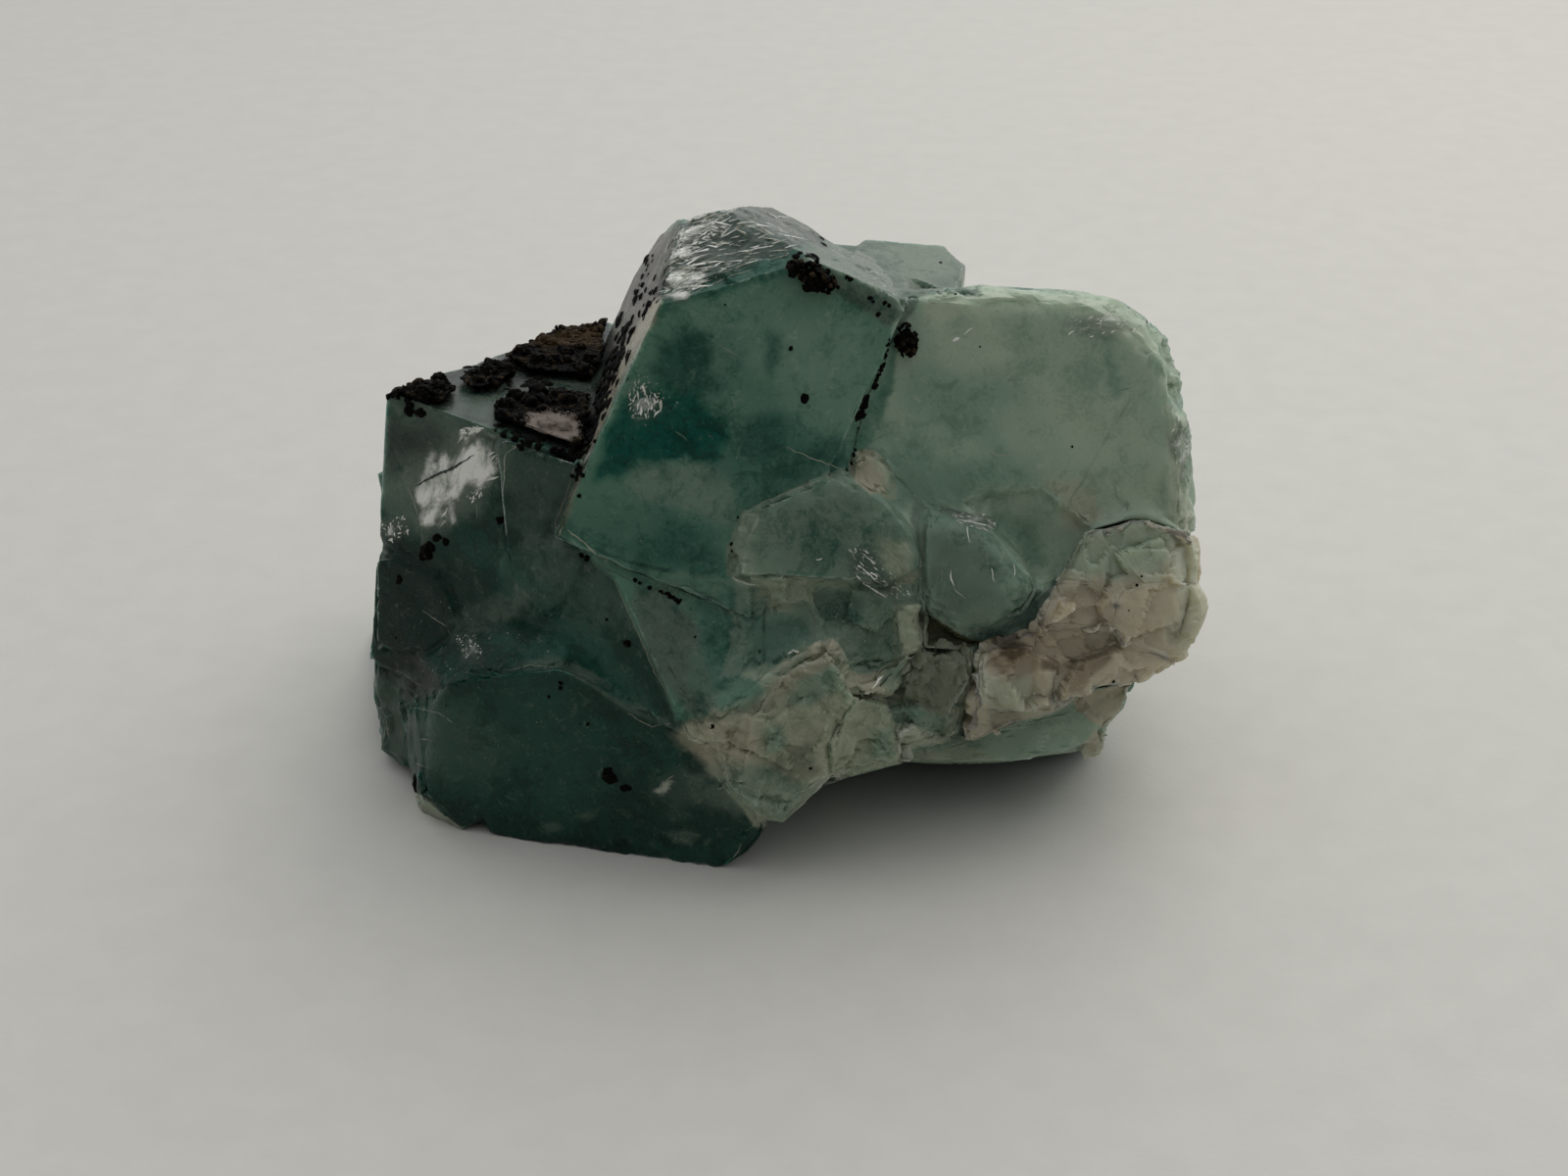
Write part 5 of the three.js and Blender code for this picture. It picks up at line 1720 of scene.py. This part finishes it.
STRANDS = [Strand(*row) for row in (
    ("516,463 515,480 513,500 511,507", 0.17, 0.6),
    ("516,463 530,453 546,448", 0.12, 0.5),
    ("415,497 422,510 428,529", 0.12, 0.6),
    ("422,497 445,485 470,473 486,463", 0.34, 0.05),
    ("486,514 487,530", 0.1, 0.4),
    ("758,524 780,512 800,504 830,492 862,481", 0.16, 0.52),
    ("748,590 760,595 776,597", 0.22, 0.75),
    ("748,586 749,560 758,525", 0.12, 0.42),
    ("800,455 825,467 865,480", 0.1, 0.45),
    ("735,352 756,366", 0.07, 0.45),
    ("690,440 704,452", 0.06, 0.4),
    ("874,588 884,597 894,604 907,611", 0.2, 1),
    ("876,576 889,588 900,597", 0.13, 0.9),
    ("882,566 896,577", 0.1, 0.85),
    ("888,584 893,587 898,592", 0.26, 1),
    ("868,560 874,575", 0.1, 0.6),
    ("905,560 924,580 935,600", 0.08, 0.62),
    ("918,550 935,570", 0.08, 0.62),
    ("833,571 842,569", 0.13, 0.85),
    ("826,595 850,591 880,589", 0.12, 0.5),
    ("776,588 800,588 824,593", 0.1, 0.2),
    ("832,600 831,640 826,655", 0.08, 0.25),
    ("987,538 988,548 990,556", 0.14, 0.9),
    ("970,582 971,592 974,600", 0.15, 0.88),
    ("974,601 980,607 986,613", 0.1, 0.62),
    ("960,580 961,596", 0.06, 0.55),
    ("1012,580 1013,588 1016,596", 0.12, 0.82),
    ("1034,575 1036,583 1034,591", 0.15, 0.88),
    ("1024,560 1021,578", 0.06, 0.6),
    ("1006,560 1009,582", 0.06, 0.5),
    ("976,531 986,531 996,534 1008,537 1017,541", 0.22, 0.95),
    ("976,526 990,522 1006,524 1014,530", 0.12, 0.62),
    ("1030,618 1041,600 1050,586", 0.08, 0.42),
    ("943,578 942,560 943,532", 0.1, 0.4),
    ("945,624 960,634 976,643", 0.1, 0.55),
    ("800,676 825,664 850,656", 0.16, 0.52),
    ("804,683 830,669 857,661", 0.1, 0.12),
    ("802,668 810,664 817,667", 0.34, 0.85),
    ("784,708 774,724 764,735", 0.16, 0.05),
    ("874,708 862,728 848,754 846,780 843,798", 0.12, 0.14),
    ("890,703 897,693 904,686", 0.26, 0.95),
    ("897,702 906,691 913,686", 0.2, 0.1),
    ("914,738 930,744 970,757", 0.1, 0.5),
    ("924,779 950,770 985,763", 0.1, 0.45),
    ("775,838 800,838 822,815 848,799", 0.12, 0.5),
    ("715,744 735,787 775,838", 0.12, 0.5),
    ("430,724 445,727 456,733", 0.13, 0.33),
    ("428,754 436,755 443,758", 0.12, 0.32),
    ("452,750 475,754 490,761", 0.1, 0.15),
    ("456,733 463,739", 0.12, 0.55),
    ("426,779 441,785", 0.14, 0.4),
    ("394,735 396,748 398,757", 0.2, 0.5),
    ("622,750 640,760 649,765", 0.12, 0.08),
    ("470,672 490,677 503,690", 0.1, 0.15),
    ("430,622 441,630 456,640 461,651", 0.12, 0.38),
    ("500,690 507,700", 0.1, 0.12),
    ("520,685 540,679 573,681", 0.12, 0.4),
    ("573,682 590,692 610,702", 0.12, 0.12),
    ("626,590 648,640 670,690 684,712", 0.1, 0.38),
    ("640,728 665,742 687,738", 0.12, 0.45),
    ("425,806 441,822 462,842 482,856", 0.1, 0.5),
    ("680,796 690,790", 0.12, 0.5),
    ("972,348 976,346 981,344", 0.5, 0.85),
    ("984,341 990,336 996,333", 0.13, 0.85),
    ("1090,341 1098,336", 0.18, 0.95),
    ("1110,326 1118,321", 0.13, 0.85),
    ("1124,329 1141,322", 0.1, 0.75),
    ("1028,389 1042,385", 0.06, 0.2),
    ("1142,399 1160,393", 0.07, 0.15),
    ("1008,458 1018,465 1034,464 1041,455", 0.12, 0.55),
    ("985,352 1000,372 1018,386 1032,380 1048,345", 0.07, 0.5),
    ("1062,607 1085,575 1108,544", 0.1, 0.5),
    ("908,344 904,368 896,386 886,402 880,424 874,448 869,474", 0.16, 0),
    ("868,470 866,480 874,490 890,502 908,508", 0.08, 0.15),
    ("1076,603 1086,597 1110,594 1118,598", 0.11, 0.6),
    ("1062,640 1085,636 1130,640", 0.08, 0.35),
    ("992,663 994,690 1002,711", 0.18, 0.58),
    ("969,763 1020,745 1060,735 1095,726", 0.12, 0.12),
    ("1097,724 1112,734 1126,749", 0.12, 0.5),
    ("688,240 712,213 752,206 790,214 828,221 838,246", 0.16, 0.55),
    ("838,247 870,257 905,271 938,297", 0.14, 0.58),
    ("797,223 799,232 801,243", 0.5, 0.95),
    ("806,224 822,222 830,230", 0.2, 0.7),
    ("678,303 700,303 722,292 745,282 772,274", 0.1, 0.6),
    ("677,300 662,330 640,373 620,421 601,464", 0.11, 0.56),
    ("655,345 628,395 606,445 588,490 572,532", 0.13, 0.16),
    ("648,346 622,392 602,438 586,480 569,530", 0.11, 0.22),
    ("652,336 634,370 616,398", 0.1, 0.5),
    ("574,536 570,550", 0.16, 0.5),
    ("578,540 592,551 610,566 624,576", 0.2, 0.5),
    ("600,572 640,590 672,604", 0.08, 0.12),
)]

SCATTERS = [Scatter(*row) for row in (
    (PAINTED_GLINTS["crown"].outline, 260, (0.6, 2.8), 10, 16, (0.4, 1), 0.09),
    (PAINTED_GLINTS["crown_left"].outline, 160, (0.3, 1.2), 10, 25, (0.7, 1), 0.2),
    (PAINTED_GLINTS["crown_low"].outline, 120, (0.3, 1.2), 20, 20, (0.6, 1), 0.16),
    (PAINTED_GLINTS["left_face"].outline, 26, (0.4, 1.6), 48, 14, (0.6, 0.9), 0.18),
    (PAINTED_GLINTS["left_edge"].outline, 40, (0.2, 0.7), 55, 30, (0.7, 1), 0.3),
    (PAINTED_GLINTS["left_top"].outline, 24, (0.3, 0.9), 15, 15, (0.8, 1), 0.3),
    (PAINTED_GLINTS["left_chip"].outline, 24, (0.2, 0.6), 45, 30, (0.8, 1), 0.3),
    (PAINTED_GLINTS["left_glint"].outline, 60, (0.12, 0.4), 60, 60, (0.6, 1), 0.4),
    (PAINTED_GLINTS["tall_chip"].outline, 60, (0.3, 1.2), 75, 25, (0.7, 1), 0.2),
    ("640,385 660,380 676,398 690,402 672,412 640,405", 60, (0.1, 0.4), 70, 40, (0.5, 0.8), 0.3),
    ("866,560 886,560 930,606 915,612 876,598", 120, (0.15, 0.7), -40, 10, (0.5, 1), 0.14),
    ("905,550 925,555 940,600 920,600", 60, (0.15, 0.6), -50, 12, (0.4, 0.7), 0.12),
    ("974,524 1000,520 1018,534 1014,542 980,536", 70, (0.15, 0.6), -10, 20, (0.5, 1), 0.25),
    ("1085,330 1140,312 1182,335 1150,340 1100,345", 90, (0.12, 0.6), 20, 15, (0.5, 1), 0.25),
    ("1200,400 1214,430 1222,480 1214,500 1200,470 1190,405", 120, (0.12, 0.6), 60, 20, (0.5, 0.95), 0.25),
    ("1195,515 1214,515 1218,548 1200,548", 40, (0.12, 0.5), 70, 30, (0.5, 0.9), 0.25),
    ("935,296 1100,298 1140,306 1100,320 950,318", 60, (0.12, 0.6), 5, 15, (0.45, 0.8), 0.25),
    ("845,250 905,272 935,296 915,306 850,270", 70, (0.1, 0.5), -20, 30, (0.45, 0.95), 0.3),
    ("845,600 870,600 875,655 840,655", 30, (0.08, 0.25), 60, 40, (0.5, 0.9), 0.4),
    ("428,826 460,845 480,857 440,858", 50, (0.15, 0.6), -30, 25, (0.5, 0.8), 0.3),
    ("1070,596 1130,596 1130,640 1070,640", 30, (0.12, 0.5), 5, 30, (0.45, 0.8), 0.25),
    ("1045,690 1110,690 1110,710 1045,715", 30, (0.1, 0.3), 0, 60, (0.5, 0.95), 0.5),
    ("400,440 700,400 1200,420 1190,680 900,760 600,840 430,780", 420, (0.06, 0.16), 0, 90, (0.4, 0.75),
        0.6),
    ("420,600 500,610 560,650 500,690 430,690", 40, (0.08, 0.3), -40, 40, (0.45, 0.75), 0.4),
)]


@dataclass
class SliversAndPaintedGlints:
    """Thin dark and dull slivers and lines, and bright ones that are painted glints, that lie on the broken
    and glassy faces.
    """

    seed: int = 5
    step: float = 2.5  # this and the next two in the picture's pixels, along and across a strand
    wander: float = 0.7
    wave: float = 7.0
    gap: float = 1.0  # mm that break a strand
    bulk: float = 0.36  # half the width of a ribbon, in widths of its strand
    tries: int = 6  # spots that are drawn for each sliver
    lean: float = 0.25  # how far a sliver leans out of the surface
    finish: SliverAndGlintFinish = field(default_factory=SliverAndGlintFinish)

    def __post_init__(self) -> None:
        """Starts an empty heap."""
        self.heap = Heap(self.seed)
        self.random = self.heap.random

    def join(self, points: list[Vector], faces: list[tuple[int, int, int]], shine: float) -> None:
        """Adds a closed shape."""
        self.heap.join(np.array(points), np.array(faces), np.full(len(points), shine))

    def lay(self, strand: Strand, ground: Ground) -> None:
        """Lays a strand on the ground, in parts where the ground steps back."""
        run: list[tuple[Vector, Vector]] = []
        drift = self.random.uniform(0.0, 90.0)
        line = spots_of(strand.line)
        for (first, top), (second, bottom) in zip(line, line[1:]):
            count = max(2, int(math.hypot(second - first, bottom - top) / self.step))
            for index in range(count):
                share = index / count
                across, down = first + (second - first) * share, top + (bottom - top) * share
                sway = noise.noise_vector(Vector((across / self.wave, down / self.wave, drift))) * self.wander
                found = ground.seen(across + 2.0 * sway.x, down + 2.0 * sway.y)
                if found and run and (found[0] - run[-1][0]).length > self.gap:
                    self.ribbon(run, strand)
                    run = []
                if found:
                    run.append(found)
        self.ribbon(run, strand)

    def ribbon(self, run: list[tuple[Vector, Vector]], strand: Strand) -> None:
        """Makes a closed, tapering ribbon through the spots of a strand."""
        if len(run) < 3:
            return
        points, faces, last = [], [], len(run) - 1
        for index, (spot, _) in enumerate(run):
            normals = (run[min(max(index + step, 0), last)][1] for step in (-1, 0, 1))
            normal = sum(normals, Vector()).normalized()
            ahead = run[min(index + 1, last)][0] - run[max(index - 1, 0)][0]
            side = normal.cross(ahead).normalized()
            taper = (4.0 * (index + 0.3) * (last + 0.3 - index)) ** 0.5 / (last + 0.6)
            half = strand.width * self.bulk * taper * self.random.uniform(0.55, 1.25)
            points += [spot + side * half, spot + normal * half * 0.5]
            points += [spot - side * half, spot - normal * half]
        for row in range(0, 4 * last, 4):
            for corner in range(4):
                one, two = row + corner, row + (corner + 1) % 4
                faces += [(one, two, two + 4), (one, two + 4, one + 4)]
        end = 4 * last
        faces += [(0, 3, 2), (0, 2, 1), (end, end + 1, end + 2), (end, end + 2, end + 3)]
        self.join(points, faces, strand.shine)

    def strew(self, scatter: Scatter, ground: Ground) -> None:
        """Strews slivers over a region of the ground."""
        outline = spots_of(scatter.outline)
        sides = list(zip(outline.min(axis=0), outline.max(axis=0)))
        tries = range(scatter.count * self.tries)
        spots = np.array([[self.random.uniform(*side) for side in sides] for _ in tries])
        inside = Region(scatter.outline, feather=0.5).weight(spots, np.zeros(len(spots))) > 0.5
        for across, down in spots[inside][: scatter.count]:
            found = ground.seen(across, down)
            if not found:
                continue
            angle = math.radians(self.random.gauss(scatter.angle, scatter.fan))
            aim = Vector((math.cos(angle), math.sin(angle), 0.0))
            normal = (found[1] + Vector(noise.random_unit_vector()) * self.lean).normalized()
            ahead = (aim - normal * aim.dot(normal)).normalized()
            length = scatter.length[0] + (scatter.length[1] - scatter.length[0]) * self.random.random() ** 2
            shine = self.random.uniform(*scatter.shine)
            self.sliver(found[0], normal, ahead * length / 2.0, length * scatter.slimness / 2.0, shine)

    def sliver(self, at: Vector, normal: Vector, ahead: Vector, half: float, shine: float) -> None:
        """Adds one sliver with six corners."""
        side = normal.cross(ahead).normalized() * half * self.random.uniform(0.7, 1.3)
        rise = normal * half * 0.45
        shift = side * self.random.uniform(-0.5, 0.5)
        points = [at + ahead, at + side + shift, at - ahead, at - side + shift, at + rise, at - rise]
        around = [(0, 1), (1, 2), (2, 3), (3, 0)]
        faces = [(one, two, 4) for one, two in around] + [(two, one, 5) for one, two in around]
        self.join(points, faces, shine)

    def build(self, ground: Ground) -> bpy.types.Object:
        """Lays and strews them all."""
        noise.seed_set(self.seed)
        for strand in STRANDS:
            self.lay(strand, ground)
        for scatter in SCATTERS:
            self.strew(scatter, ground)
        surface = self.heap.surface()
        values = {"shine": np.concatenate(self.heap.values)}
        piece = surface.to_object("slivers_and_painted_glints", self.finish.make(), values, 20.0)
        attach(piece, BODY)
        log.info("slivers_and_painted_glints: %d triangles", len(surface.faces))
        return piece


@dataclass
class Studio:
    """Floor, soft light and camera."""

    floor_size: float = 3.0
    key_size: float = 0.42
    key_power: float = 0.66
    key_azimuth: float = 40.0  # degrees to the right of straight behind
    key_elevation: float = 52.0
    key_distance: float = 0.44
    key_colour: Triple = (1.0, 0.97, 0.92)
    ambient: Pair = (0.05, 0.85)  # in front and above
    sky_colour: Triple = (0.95, 0.97, 1.0)
    sky_side: Triple = (0.1, 0.55, 0.83)  # the direction that it is strongest from

    def build(self) -> None:
        """Makes them all."""
        bpy.ops.mesh.primitive_grid_add(x_subdivisions=8, y_subdivisions=8, size=self.floor_size)
        floor = bpy.context.object
        floor.name = "floor"
        floor.data.materials.append(FloorFinish().make())
        self.light()
        self.camera()

    def light(self) -> None:
        """A soft key light from above and behind, and an even fill."""
        lamp = bpy.data.lights.new("key_light", "AREA")
        lamp.size = self.key_size
        lamp.energy = self.key_power
        lamp.color = self.key_colour
        key = bpy.data.objects.new("key_light", lamp)
        aim = Vector(bearing(self.key_azimuth, self.key_elevation))
        key.location = aim * self.key_distance
        key.rotation_euler = aim.to_track_quat("Z", "Y").to_euler()
        bpy.context.scene.collection.objects.link(key)
        bpy.context.scene.world = self.fill()

    def fill(self) -> bpy.types.World:
        """Soft light from all round, strongest from above and behind."""
        world = bpy.data.worlds.new("soft_fill")
        world.use_nodes = True
        board = Board(world.node_tree, "ShaderNodeOutputWorld")
        inputs = {0: board.coordinates["Generated"], 1: self.sky_side}
        height = board.signal("ShaderNodeVectorMath", {"operation": "DOT_PRODUCT"}, inputs, "Value")
        glow = self.ambient[0] + (self.ambient[1] - self.ambient[0]) * height.step(-0.3, 0.9)
        board.finish(board.node("ShaderNodeBackground", None, {"Color": self.sky_colour, "Strength": glow}))
        return world

    def camera(self) -> None:
        """The camera at the eye."""
        lens = bpy.data.cameras.new("camera")
        lens.sensor_width = SENSOR_WIDTH
        lens.lens = EYE.focus / PICTURE[0] * SENSOR_WIDTH
        lens.clip_start = 0.01
        camera = bpy.data.objects.new("camera", lens)
        place = Matrix(EYE.axes().T.tolist()).to_4x4()
        place.translation = Vector(EYE.to_part(np.array([0.0, 0.0, EYE.distance])))
        camera.matrix_world = place
        bpy.context.scene.collection.objects.link(camera)
        bpy.context.scene.camera = camera
        bpy.context.scene.view_settings.view_transform = "Standard"


def main() -> None:
    """Builds the pieces in order."""
    Studio().build()
    cluster, matrix = FluoriteCluster(), QuartzMatrix()
    whole = SightMap([cluster.surface, matrix.surface])
    crystals = cluster.build(whole)
    quartz = matrix.build(whole)
    finish = CrustFinish()
    chalky = Region("536,424 560,418 590,424 592,446 575,452 548,444 534,434")
    earthy = Region("535,346 600,328 624,330 612,352 560,356", feather=9.0, ragged=8.0)
    patches = [
        CrustPatch("crust_main", 11, 700, (0.1, 0.36), chalky),
        CrustPatch("crust_upper", 16, 900, (0.1, 0.36), earthy=earthy),
        CrustPatch("crust_corner", 12, 260, (0.1, 0.36)),
        CrustPatch("crust_edge", 13, 220, (0.1, 0.32)),
        CrustPatch("crust_crest", 14, 120, (0.1, 0.26), sunk=0.6),
        CrustPatch("crust_seam", 15, 44, (0.14, 0.34), sunk=0.6),
    ]
    for patch in patches:
        patch.build(finish)
    ground = Ground([crystals, quartz])
    SliversAndPaintedGlints().build(ground)
    OxideBeads().build(ground, CrustFinish("oxide_bead", brown=(0.010, 0.007, 0.005)))
    log.info("all pieces are built")


if __name__ == "__main__":
    logging.basicConfig(level=logging.INFO)
    main()
